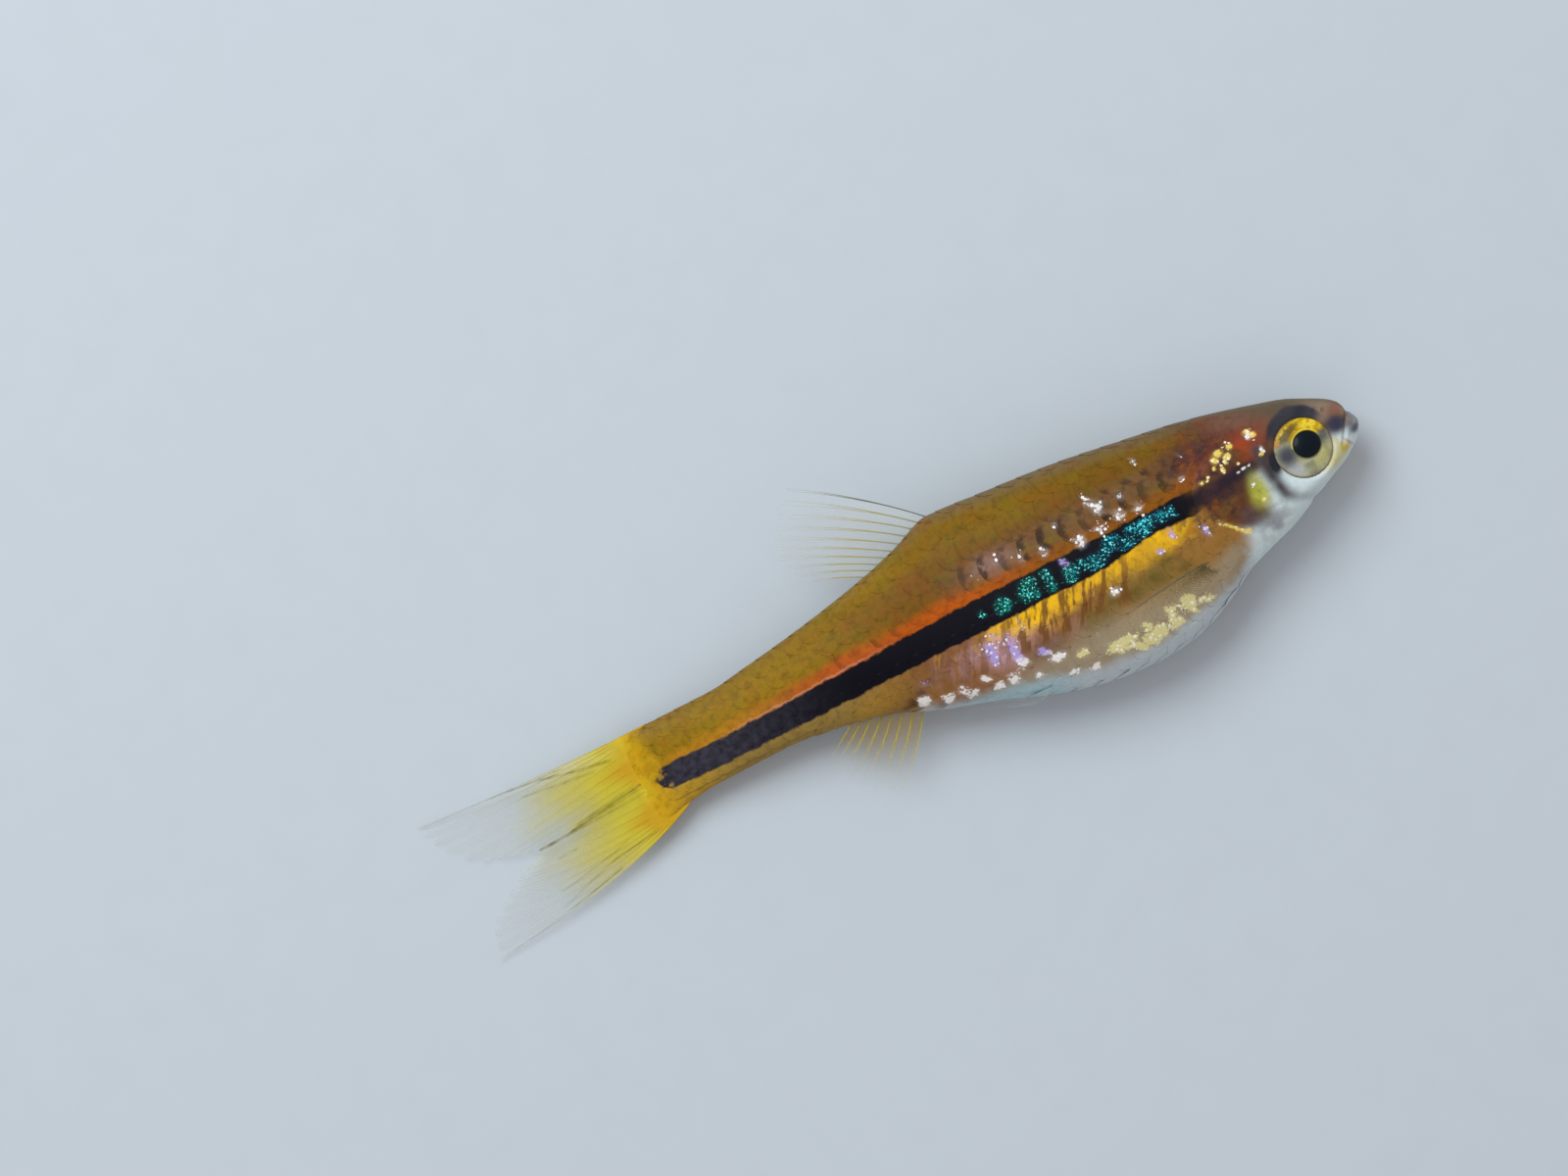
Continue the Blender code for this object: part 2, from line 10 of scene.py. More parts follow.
import bmesh
import bpy
import numpy as np
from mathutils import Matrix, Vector

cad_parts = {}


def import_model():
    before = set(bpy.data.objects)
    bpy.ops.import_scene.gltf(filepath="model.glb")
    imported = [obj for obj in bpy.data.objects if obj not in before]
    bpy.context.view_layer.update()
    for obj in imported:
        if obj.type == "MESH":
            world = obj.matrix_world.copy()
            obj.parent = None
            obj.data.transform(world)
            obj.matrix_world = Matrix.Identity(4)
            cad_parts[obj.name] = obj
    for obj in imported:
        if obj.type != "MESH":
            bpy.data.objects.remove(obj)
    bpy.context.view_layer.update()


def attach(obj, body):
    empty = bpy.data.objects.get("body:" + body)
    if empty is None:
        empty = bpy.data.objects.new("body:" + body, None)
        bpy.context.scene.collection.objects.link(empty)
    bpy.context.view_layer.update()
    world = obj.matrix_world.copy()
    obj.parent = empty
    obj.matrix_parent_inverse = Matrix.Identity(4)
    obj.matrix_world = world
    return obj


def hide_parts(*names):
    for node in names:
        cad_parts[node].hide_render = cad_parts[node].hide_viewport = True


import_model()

bl_info = {
    "name": "Brilliant Rasbora",
    "version": (1, 0, 0),
    "blender": (4, 5, 0),
    "location": "3D View > Sidebar > Rasbora",
    "description": "Builds the skin, scales, glitter, eyes and fins of a small fish over its solids",
    "category": "Object",
}

MM = 0.001

# Driving sizes: those of the solids, but here the body runs on behind the tail stalk and thins out there.
TOTAL_LENGTH = 70.0
CAUDAL_BASE = 53.4
MIDDLE_Y = 2.925
BACK = [(0, 0.35), (0.08, 0.62), (0.3, 0.98), (0.5, 1.35), (0.6, 1.75), (0.75, 2.05), (1.0, 2.3), (1.4, 2.6),
        (2.5, 3.2), (4, 3.9), (6, 4.5), (8, 5.05), (11, 5.75), (15, 6.4), (20, 7.15), (25, 7.6), (29.2, 7.9),
        (32, 6.95), (34.8, 6.15), (40, 5.1), (45, 4.35), (48, 4.0), (CAUDAL_BASE, 4.0), (56, 3.95)]
BELLY = [(0, 0.35), (0.08, 0.05), (0.3, -0.35), (0.6, -0.75), (1, -1.1), (2, -1.7), (3, -2.15), (5, -3.05),
         (7, -4.05), (9, -4.7), (11, -5.4), (13, -6.5), (15, -7.4), (17, -7.95), (19.5, -8.15), (22, -8.0),
         (25, -7.45), (28, -6.5), (31, -5.35), (34, -4.4), (37, -3.2), (40, -2.4), (45, -1.9), (50, -1.95),
         (CAUDAL_BASE, -2.35), (56, -2.95)]
HALF_WIDTH = [(0, 0), (0.08, 0.38), (0.3, 0.7), (0.6, 1.0), (1.2, 1.45), (2, 1.9), (3, 2.3), (4.5, 2.65),
              (6, 2.85), (8, 3.0), (11, 3.15), (15, 3.5), (20, 3.8), (24, 3.75), (28, 3.4), (32, 2.8),
              (36, 2.25), (40, 1.85), (45, 1.45), (50, 1.1), (CAUDAL_BASE, 0.62), (54.2, 0.2), (54.7, 0.06),
              (55, 0.015), (56, 0.012)]
WIDEST_Y = [(0, 0.35), (0.6, 0.5), (2, 0.5), (4.5, 0.4), (8, 0.2), (12, -0.3), (16, -1.2), (20, -1.8),
            (24, -1.6), (28, -0.7), (32, 0.2), (36, 0.8), (40, 1.1), (CAUDAL_BASE, 0.95)]
FULLNESS = [(0, 2.0), (1.5, 2.3), (4.5, 2.8), (8, 2.6), (14, 2.2), (24, 2.1), (CAUDAL_BASE, 2.0)]
MIDDLE_Z = [(0, 3.42), (12, 3.5), (20, 3.55), (30, 3.55), (38, 3.2), (46, 2.3), (CAUDAL_BASE, 1.55),
            (60, 0.95), (66, 0.4), (TOTAL_LENGTH, 0.16)]
FLOOR_SOFTNESS = 0.04

# The middle of the eye, its radius, the tilt of its plane in degrees, and the middle of the crescent of
# painted shadow over it.
EYE_S, EYE_Y, EYE_LATERAL = 4.3, 0.3, 2.3
EYE_RADIUS, EYE_TILT, CRESCENT_S = 2.07, 10.0, 4.33

# The scales: the level of the row over the stripe, the spacing along a row, and by level where they start.
ROW_Y = [(0, 0.8), (12, 0.85), (28, 0.8), (34, 0.6), (40, 0.35), (50, 0.1), (56, 0.05)]
SCALE_PITCH = [(0, 1.4), (20, 1.5), (32, 1.45), (56, 1.2)]
SCALE_START = [(-7.6, 10.6), (-5.5, 10.2), (-4.2, 10.3), (-3, 11.2), (-1, 13.0), (1, 13.3), (2.6, 12.4),
               (4, 10.6), (6.2, 9.6)]


def srgb(red, green, blue):
    """Display values from 0 to 255 as the linear colour that a shader takes."""
    value = np.array([red, green, blue], float) / 255
    return np.where(value <= 0.04045, value / 12.92, ((value + 0.055) / 1.055) ** 2.4)


def smooth(keys):
    """A curve through the keys that never swings past them: cubic pieces with limited slopes."""
    x, y = np.array(keys, float).T
    step = np.diff(x)
    slope = np.diff(y) / step
    tangent = np.zeros(len(x))
    tangent[0], tangent[-1] = slope[0], slope[-1]
    same_way = slope[:-1] * slope[1:] > 0
    before, after = 2 * step[1:] + step[:-1], step[1:] + 2 * step[:-1]
    first = np.where(same_way, slope[:-1], 1.0)
    second = np.where(same_way, slope[1:], 1.0)
    mean = (before + after) / (before / first + after / second)
    tangent[1:-1] = np.where(same_way, mean, 0.0)

    def at(value):
        value = np.clip(np.asarray(value, float), x[0], x[-1])
        i = np.clip(np.searchsorted(x, value, side="right") - 1, 0, len(step) - 1)
        t = (value - x[i]) / step[i]
        rise = step[i] * ((t - 2 * t**2 + t**3) * tangent[i] + (t**3 - t**2) * tangent[i + 1])
        return (1 - 3 * t**2 + 2 * t**3) * y[i] + (3 * t**2 - 2 * t**3) * y[i + 1] + rise

    return at


back, belly, half_width = smooth(BACK), smooth(BELLY), smooth(HALF_WIDTH)
widest_y, fullness, middle_z = smooth(WIDEST_Y), smooth(FULLNESS), smooth(MIDDLE_Z)
row_y, scale_pitch, scale_start = smooth(ROW_Y), smooth(SCALE_PITCH), smooth(SCALE_START)


def fade(value, low, high):
    """0 at low, 1 at high, and smooth between them."""
    t = np.clip((value - low) / (high - low), 0, 1)
    return t * t * (3 - 2 * t)


def band(value, low, high, soft):
    """1 between low and high, fading to 0 over a soft edge centred on each."""
    return fade(value, low - soft / 2, low + soft / 2) * (1 - fade(value, high - soft / 2, high + soft / 2))


def blob(s, y, centre, radii, turn=0.0):
    """1 at the centre of an ellipse, 0.5 on its line, falling smoothly to 0."""
    c, w = math.cos(math.radians(turn)), math.sin(math.radians(turn))
    p, q = s - centre[0], y - centre[1]
    reach = ((p * c + q * w) / radii[0]) ** 2 + ((q * c - p * w) / radii[1]) ** 2
    return 2.0 ** -(reach**1.5)


def grain(points, size, seed):
    """Smooth random values from 0 to 1, one for each point: a lattice of hashed values, blended between its
    corners."""
    place = np.asarray(points, float) / size
    cell = np.floor(place)
    part = place - cell
    part = part * part * (3 - 2 * part)
    cell = cell.astype(np.int64)
    total = 0.0
    for corner in range(8):
        bits = [(corner >> k) & 1 for k in range(3)]
        mixed = np.full(cell.shape[:-1], seed * 1013904223 + 12345, np.int64)
        weight = 1.0
        for k, prime in enumerate((73856093, 19349663, 83492791)):
            mixed ^= (cell[..., k] + bits[k]) * prime
            weight = weight * (part[..., k] if bits[k] else 1 - part[..., k])
        mixed = (mixed ^ (mixed >> 13)) * 1274126177
        mixed = (mixed ^ (mixed >> 16)) & 0xFFFFFF
        total = total + weight * mixed / 0xFFFFFF
    return total


def line_distance(s, y, points):
    """The distance of places from a run of straight lines, and how far along it the nearest point lies."""
    points = np.array(points, float)
    lengths = np.linalg.norm(np.diff(points, axis=0), axis=1)
    runs = np.concatenate([[0], np.cumsum(lengths)])
    place = np.stack(np.broadcast_arrays(s, y), axis=-1)
    best, where = np.full(place.shape[:-1], 1e9), np.zeros(place.shape[:-1])
    for start, end, run, length in zip(points[:-1], points[1:], runs, lengths):
        t = np.clip((place - start) @ (end - start) / length**2, 0, 1)
        gap = np.linalg.norm(place - start - t[..., None] * (end - start), axis=-1)
        nearer = gap < best
        best, where = np.where(nearer, gap, best), np.where(nearer, run + t * length, where)
    return best, where / runs[-1]


def inside(s, y, outline):
    """True for places inside a closed outline, by how many of its sides lie to one side of them."""
    s, y = np.broadcast_arrays(s, y)
    crossings = np.zeros(s.shape, int)
    for (s0, y0), (s1, y1) in zip(outline, outline[1:] + outline[:1]):
        if y0 == y1:
            continue
        crosses = (y0 > y) != (y1 > y)
        crossings += crosses & (s < (s1 - s0) * (y - y0) / (y1 - y0) + s0)
    return crossings % 2 == 1


def along(keys, t):
    """Points on smooth curves through keys that are spread evenly over 0 to 1."""
    keys = np.array(keys, float)
    spots = np.linspace(0, 1, len(keys))
    return np.stack([smooth(list(zip(spots, keys[:, k])))(t) for k in range(keys.shape[1])], axis=-1)


def world(place):
    """Side-view millimetres to metres in the frame. A soft floor keeps every point at or above z = 0."""
    s, y, lateral = np.moveaxis(np.asarray(place, float), -1, 0)
    z = middle_z(s) + lateral
    z = np.where(z > 10 * FLOOR_SOFTNESS, z,
                 FLOOR_SOFTNESS * np.log1p(np.exp(np.minimum(z, 1) / FLOOR_SOFTNESS)))
    return np.stack([TOTAL_LENGTH / 2 - s, y - MIDDLE_Y, z], axis=-1) * MM


def bare(s, angle):
    """The bare body: a superellipse at each s. Angle 0 is the back, a quarter turn the right flank, a half
    the belly."""
    s, angle = np.broadcast_arrays(np.asarray(s, float), np.asarray(angle, float))
    power = 2 / fullness(s)
    up, out = np.cos(angle), np.sin(angle)
    mid = widest_y(s)
    reach = np.where(up > 0, back(s) - mid, mid - belly(s))
    y = mid + reach * np.sign(up) * np.abs(up) ** power
    lateral = half_width(s) * np.sign(out) * np.abs(out) ** power
    return np.stack([s, y, lateral], axis=-1)


def angle_of(s, y, side):
    """The angle on the bare body of a place in the side view."""
    mid = widest_y(s)
    reach = np.where(y > mid, back(s) - mid, mid - belly(s))
    up = np.clip((y - mid) / reach, -1, 1)
    up = np.sign(up) * np.abs(up) ** (fullness(s) / 2)
    return np.where(side > 0, 1, -1) * np.arccos(up)


def outward(s, angle, step=0.04):
    """The outward direction of the bare body, from its slopes along and round it."""
    turn = step / np.maximum(half_width(s), 0.4)
    along_body = bare(np.asarray(s) + step, angle) - bare(np.maximum(np.asarray(s) - step, 0.001), angle)
    round_body = bare(s, angle + turn) - bare(s, angle - turn)
    normal = np.cross(round_body, along_body)
    return normal / np.maximum(np.linalg.norm(normal, axis=-1, keepdims=True), 1e-12)


def rows_reach(table, row, value):
    """The fractional column at which each rising row of a table reaches a value. Rows are fractional too."""
    offset = (table[:, -1].max() - table[:, 0].min()) * 2
    flat = (table + offset * np.arange(len(table))[:, None]).ravel()
    low = np.clip(np.floor(row).astype(int), 0, len(table) - 2)
    found = []
    for near in (low, low + 1):
        wanted = np.clip(value, table[near, 0], table[near, -1] - 1e-9) + offset * near
        i = np.clip(np.searchsorted(flat, wanted, side="right") - 1, 0, len(flat) - 2)
        found.append(i - near * table.shape[1] + (wanted - flat[i])
                     / np.maximum(flat[i + 1] - flat[i], 1e-12))
    share = np.clip(row - low, 0, 1)
    return found[0] * (1 - share) + found[1] * share


ARC_START, ARC_END, ARC_STEP = 0.1, 56.0, 0.1
ARC_ANGLES = np.radians(np.linspace(-110, 290, 801))


def arc_table():
    """For stations along the body, the distance round the skin from the back side down, at every angle."""
    stations = np.arange(ARC_START, ARC_END, ARC_STEP)
    ring = bare(stations[:, None], ARC_ANGLES)
    run = np.cumsum(np.linalg.norm(np.diff(ring, axis=1), axis=-1), axis=1)
    return np.concatenate([np.zeros((len(stations), 1)), run], axis=1)


ARCS = arc_table()


def arc_row(s):
    """The fractional row of the table for each s."""
    return np.clip((np.asarray(s, float) - ARC_START) / ARC_STEP, 0, len(ARCS) - 1.001)


def arc_angle(s, wanted):
    """The angle at which the distance round the skin reaches the wanted one."""
    return ARC_ANGLES[0] + rows_reach(ARCS, arc_row(s), wanted) * (ARC_ANGLES[1] - ARC_ANGLES[0])


def arc_of(s, angle):
    """How far round the skin an angle lies at s, from the table."""
    row = arc_row(s)
    column = np.clip((angle - ARC_ANGLES[0]) / (ARC_ANGLES[1] - ARC_ANGLES[0]), 0, len(ARC_ANGLES) - 1.001)
    i, j = row.astype(int), column.astype(int)
    u, v = row - i, column - j
    return ((1 - u) * ((1 - v) * ARCS[i, j] + v * ARCS[i, j + 1])
            + u * ((1 - v) * ARCS[i + 1, j] + v * ARCS[i + 1, j + 1]))


def above_row(s, angle):
    """The distance round the skin from the row over the stripe, positive towards the back. For the right
    side."""
    return arc_of(s, angle_of(s, row_y(s), 1)) - arc_of(s, angle)


def angle_above_row(s, distance):
    """The angle on the right side at a distance round the skin from the row over the stripe."""
    return arc_angle(s, arc_of(s, angle_of(s, row_y(s), 1)) - distance)


# Lines of the head, seen from the side, how far back its relief reaches, and the nostrils.
MOUTH = [(1.92, -0.95), (1.62, -0.52), (1.28, 0.0), (0.92, 0.58), (0.62, 1.0), (0.3, 1.42)]
COVER = [(7.2, 1.9), (8.0, 2.6), (9.3, 3.0), (10.6, 2.75), (11.8, 2.0), (12.5, 1.0), (12.6, 0.1),
         (12.3, -1.0), (11.6, -1.95), (10.4, -2.95), (9.0, -3.75), (7.4, -4.1), (5.6, -3.75), (4.2, -3.1),
         (5.6, -2.9), (6.7, -2.2), (7.1, -1.0), (7.2, 0.4)]
PREOPERCLE = [(7.25, 1.6), (7.15, 0.3), (7.0, -1.0), (6.75, -2.0), (6.1, -2.8), (5.0, -3.1)]
SUBOPERCLE = [(7.3, -2.4), (8.6, -2.35), (10.2, -2.05), (11.6, -1.35), (12.3, -0.7)]
HEAD_END = 14
NOSTRILS = [((1.85, 2.0), (0.2, 0.16)), ((2.35, 2.28), (0.26, 0.17))]


def relief(s, y):
    """How far the head's skin stands out from the bare body: lips, nostrils, the plates of the gill cover."""
    groove, run = line_distance(s, y, MOUTH)
    corner = fade(run, 0.0, 0.12)
    height = -0.13 * corner * np.exp(-(groove / 0.08) ** 2)
    height += 0.05 * corner * np.exp(-((groove - 0.26) / 0.13) ** 2)
    for centre, radii in NOSTRILS:
        height -= 0.16 * blob(s, y, centre, radii)
        height += 0.05 * np.exp(-((blob(s, y, centre, radii) - 0.3) / 0.12) ** 2)
    edge, _ = line_distance(s, y, COVER + COVER[:1])
    within = inside(s, y, COVER)
    rear = fade(s, 7.6, 9.2) * fade(y, -4.3, -3.6)
    height += np.where(within, 0.1 * fade(edge, 0, 0.4), -0.03 * np.exp(-(edge / 0.2) ** 2)) * rear
    height += np.where(within, 0.05 * fade(edge, 0, 0.5) * (1 - rear), 0)
    for line, depth, width in ((PREOPERCLE, 0.05, 0.2), (SUBOPERCLE, 0.05, 0.1)):
        gap, _ = line_distance(s, y, line)
        height -= depth * np.exp(-(gap / width) ** 2)
    orbit = np.hypot(s - EYE_S, y - EYE_Y)
    height += 0.05 * np.exp(-((orbit - 3.0) / 0.25) ** 2) * fade(EYE_Y - y + 0.5 * (s - EYE_S), -0.6, 0.6)
    return height


def eye_level(s):
    """How far out the rim of the orbit lies: on a plane that follows the taper of the head."""
    return EYE_LATERAL - 0.12 + math.tan(math.radians(EYE_TILT)) * (s - EYE_S)


def skin(s, angle):
    """The skin: the bare body with the head's relief, a rim and a socket for each eye, and a bed for the
    scales."""
    place = bare(s, angle)
    s, y, lateral = np.moveaxis(place, -1, 0)
    bed = -0.07 * fade(s, scale_start(y) + 0.1, scale_start(y) + 0.9) * (1 - fade(s, 52.8, 53.8))
    height = np.where(s < HEAD_END, relief(s, y), 0) + bed
    place = place + outward(s, angle) * height[..., None]
    orbit = np.hypot(place[..., 0] - EYE_S, place[..., 1] - EYE_Y)
    near = 1 - fade(orbit, EYE_RADIUS + 0.1, EYE_RADIUS + 0.95)
    rim = 0.05 * np.exp(-((orbit - EYE_RADIUS - 0.2) / 0.13) ** 2)
    socket = 1.1 * (1 - fade(orbit, EYE_RADIUS - 0.2, EYE_RADIUS - 0.03))
    level = eye_level(place[..., 0]) + rim - socket
    out = np.abs(place[..., 2])
    place[..., 2] = np.sign(lateral) * np.where(orbit < 3.3, out * (1 - near) + level * near, out)
    return place


def grid_faces(rows, columns, closed=False):
    """The quads of a grid of points, and with closed also those that join its last column to its first."""
    i, j = np.meshgrid(np.arange(rows - 1), np.arange(columns if closed else columns - 1), indexing="ij")
    k = (j + 1) % columns
    return np.stack([i * columns + j, i * columns + k, (i + 1) * columns + k, (i + 1) * columns + j],
                    axis=-1).reshape(-1, 4)


def mesh_object(name, points, faces, paint, attributes=(), uv=None, soft=True):
    """A mesh in the frame from points in metres, with named values at its points and, if asked, the map
    OFBake."""
    mesh = bpy.data.meshes.new(name)
    mesh.from_pydata(points.reshape(-1, 3).tolist(), [], [list(face) for face in faces])
    mesh.validate()
    for label, kind, values in attributes:
        made = mesh.attributes.new(label, kind, "POINT")
        field = {"FLOAT": "value", "FLOAT_COLOR": "color"}[kind]
        made.data.foreach_set(field, np.ascontiguousarray(values, np.float32).ravel())
    if uv is not None:
        layer = mesh.uv_layers.new(name="OFBake")
        corners = np.zeros(len(mesh.loops), np.int32)
        mesh.loops.foreach_get("vertex_index", corners)
        layer.data.foreach_set("uv", uv.reshape(-1, 2)[corners].astype(np.float32).ravel())
    mesh.materials.append(paint)
    if soft:
        mesh.shade_smooth()
    made = bpy.data.objects.new(name, mesh)
    bpy.context.scene.collection.objects.link(made)
    return made


def grid_rim(rows, columns):
    """The numbers of a grid's outer points, in order round it."""
    return np.concatenate([np.arange(columns), np.arange(1, rows) * columns + columns - 1,
                           (rows - 1) * columns + np.arange(columns - 2, -1, -1),
                           np.arange(rows - 2, 0, -1) * columns])


def capped_rings(rows, columns):
    """The faces of a tube of rings whose ends are closed by fans round two more points, numbered after the
    rings."""
    ring = np.arange(columns)
    after = np.roll(ring, -1)
    last = (rows - 1) * columns
    front = np.stack([np.full(columns, rows * columns), after, ring], axis=-1)
    rear = np.stack([np.full(columns, rows * columns + 1), last + ring, last + after], axis=-1)
    return [*grid_faces(rows, columns, closed=True).tolist(), *front.tolist(), *rear.tolist()]


def closed_sheet(upper, lower):
    """Two like grids of points as one closed sheet: its points and its quads."""
    rows, columns = upper.shape[:2]
    size = rows * columns
    top = grid_faces(rows, columns)
    rim = grid_rim(rows, columns)
    after = np.roll(rim, -1)
    side = np.stack([rim, size + rim, size + after, after], axis=-1)
    points = np.concatenate([upper.reshape(-1, 3), lower.reshape(-1, 3)])
    return points, np.concatenate([top, size + top[:, ::-1], side])


def face_out(made):
    """Recalculates the faces of a closed mesh so that all of them point outwards."""
    shaped = bmesh.new()
    shaped.from_mesh(made.data)
    bmesh.ops.recalc_face_normals(shaped, faces=shaped.faces)
    shaped.to_mesh(made.data)
    shaped.free()


class Number:
    """A number in a material's node tree. Python's operators on it add Math nodes, and a plain number stays
    plain."""

    def __init__(self, paint, socket):
        self.paint, self.socket = paint, socket

    def math(self, operation, *others):
        made = self.paint.node("ShaderNodeMath", {"operation": operation}, [self, *others])
        return Number(self.paint, made.outputs[0])

    def __add__(self, other):
        return self.math("ADD", other)

    def __sub__(self, other):
        return self.math("SUBTRACT", other)

    def __mul__(self, other):
        return self.math("MULTIPLY", other)

    def __truediv__(self, other):
        return self.math("DIVIDE", other)

    def __pow__(self, other):
        return self.math("POWER", other)

    def __rsub__(self, other):
        return (self * -1) + other

    __radd__, __rmul__ = __add__, __mul__

    def curve(self, keys):
        """The height, at this number, of a run of straight lines through keys."""
        places, heights = zip(*keys)
        low, high = min(heights), max(heights)
        reach = places[-1] - places[0]
        stops = [((place - places[0]) / reach, (height - low) / (high - low)) for place, height in keys]
        made = self.paint.node("ShaderNodeValToRGB", {"stops": stops}, [(self - places[0]) * (1 / reach)])
        return Number(self.paint, made.outputs["Color"]) * (high - low) + low

    def band(self, low, high, soft):
        """1 between low and high, fading to 0 over a soft edge centred on each."""
        return self.fade(low - soft / 2, low + soft / 2) * (1 - self.fade(high - soft / 2, high + soft / 2))

    def fade(self, low, high):
        """0 at low, 1 at high, and smooth between them."""
        settings = {"interpolation_type": "SMOOTHSTEP"}
        made = self.paint.node("ShaderNodeMapRange", settings,
                               {"Value": self, "From Min": low, "From Max": high})
        return Number(self.paint, made.outputs["Result"])


class Paint:
    """A material and its node tree, with short ways to add nodes to it."""

    def __init__(self, name):
        self.material = bpy.data.materials.new(name)
        self.material.use_nodes = True
        self.tree = self.material.node_tree
        self.shader = self.tree.nodes["Principled BSDF"]

    def put(self, socket, value):
        if isinstance(value, Number):
            value = value.socket
        if isinstance(value, bpy.types.NodeSocket):
            self.tree.links.new(value, socket)
        elif value is not None:
            socket.default_value = value

    def node(self, kind, settings=(), values=()):
        """One node: its settings first, then its inputs by name, or in order where they are a list."""
        made = self.tree.nodes.new(kind)
        for key, value in dict(settings).items():
            if key == "stops":
                self.ramp(made.color_ramp.elements, value)
            else:
                setattr(made, key, value)
        pairs = values.items() if isinstance(values, dict) else enumerate(values)
        for key, value in pairs:
            self.put(made.inputs[key], value)
        return made

    def ramp(self, elements, stops):
        """Gives a ramp its stops, each a place and a grey level from 0 to 1."""
        elements[0].position, elements[1].position = stops[0][0], stops[-1][0]
        for place, level in stops[1:-1]:
            elements.new(place).color = (level, level, level, 1)
        for element, (_, level) in zip((elements[0], elements[-1]), (stops[0], stops[-1])):
            element.color = (level, level, level, 1)

    def attribute(self, name, output="Color"):
        return self.node("ShaderNodeAttribute", {"attribute_name": name}).outputs[output]

    def parts(self, vector):
        made = self.node("ShaderNodeSeparateXYZ", (), [vector])
        return [Number(self, out) for out in made.outputs]

    def mix(self, factor, first, second, blend="MIX"):
        """Two colours mixed. Plain colours have four numbers."""
        made = self.node("ShaderNodeMix", {"data_type": "RGBA", "blend_type": blend})
        for socket, value in zip((made.inputs[0], made.inputs[6], made.inputs[7]), (factor, first, second)):
            self.put(socket, value)
        return made.outputs[2]

    def over(self, factor, tint, setting):
        """A colour setting laid over a colour."""
        return self.mix(factor, tint, full(ink(setting)))

    def noise(self, size, detail=2.0, roughness=0.5, vector=None):
        """Noise with features of the given size in millimetres, on Object coordinates unless told
        otherwise."""
        vector = vector or self.node("ShaderNodeTexCoord").outputs["Object"]
        values = {"Vector": vector, "Scale": 1 / (size * MM), "Detail": detail, "Roughness": roughness}
        return Number(self, self.node("ShaderNodeTexNoise", (), values).outputs["Fac"])

    def cells(self, size, output="Distance"):
        """Round cells of the given size in millimetres: the distance from the nearest centre, or a random
        number for that cell."""
        vector = self.node("ShaderNodeTexCoord").outputs["Object"]
        made = self.node("ShaderNodeTexVoronoi", {}, {"Vector": vector, "Scale": 1 / (size * MM)})
        if output == "Color":
            return self.parts(made.outputs["Color"])[0]
        return Number(self, made.outputs[output])

    def bump(self, height, strength, depth_mm):
        values = {"Height": height, "Strength": strength, "Distance": depth_mm * MM}
        return self.node("ShaderNodeBump", (), values).outputs["Normal"]

    def finish(self, **values):
        """Sets the shader's sockets, named with _ for a space."""
        for key, value in values.items():
            self.put(self.shader.inputs[key.replace("_", " ")], value)
        return self.material


def full(colour):
    """A colour with the fourth number that colour sockets take."""
    return (*[float(c) for c in colour], 1.0)


def layer(base, colour, amount):
    """Lays a colour over an array of colours by an amount from 0 to 1."""
    amount = np.clip(amount, 0, 1)[..., None]
    return base * (1 - amount) + np.asarray(colour) * amount


def shade(name, description, red, green, blue):
    """A colour setting, with its default in display values from 0 to 255."""
    default = (red / 255, green / 255, blue / 255)
    return bpy.props.FloatVectorProperty(name=name, description=description, size=3, subtype="COLOR_GAMMA",
                                         min=0.0, max=1.0, default=default)


def size_mm(name, description, default, low=0.0, high=100.0):
    """A size setting in millimetres."""
    return bpy.props.FloatProperty(name=name, description=description, default=default, min=low, max=high)


def ratio(name, description, default, low, high):
    """A setting without a unit."""
    return bpy.props.FloatProperty(name=name, description=description, default=default, min=low, max=high)


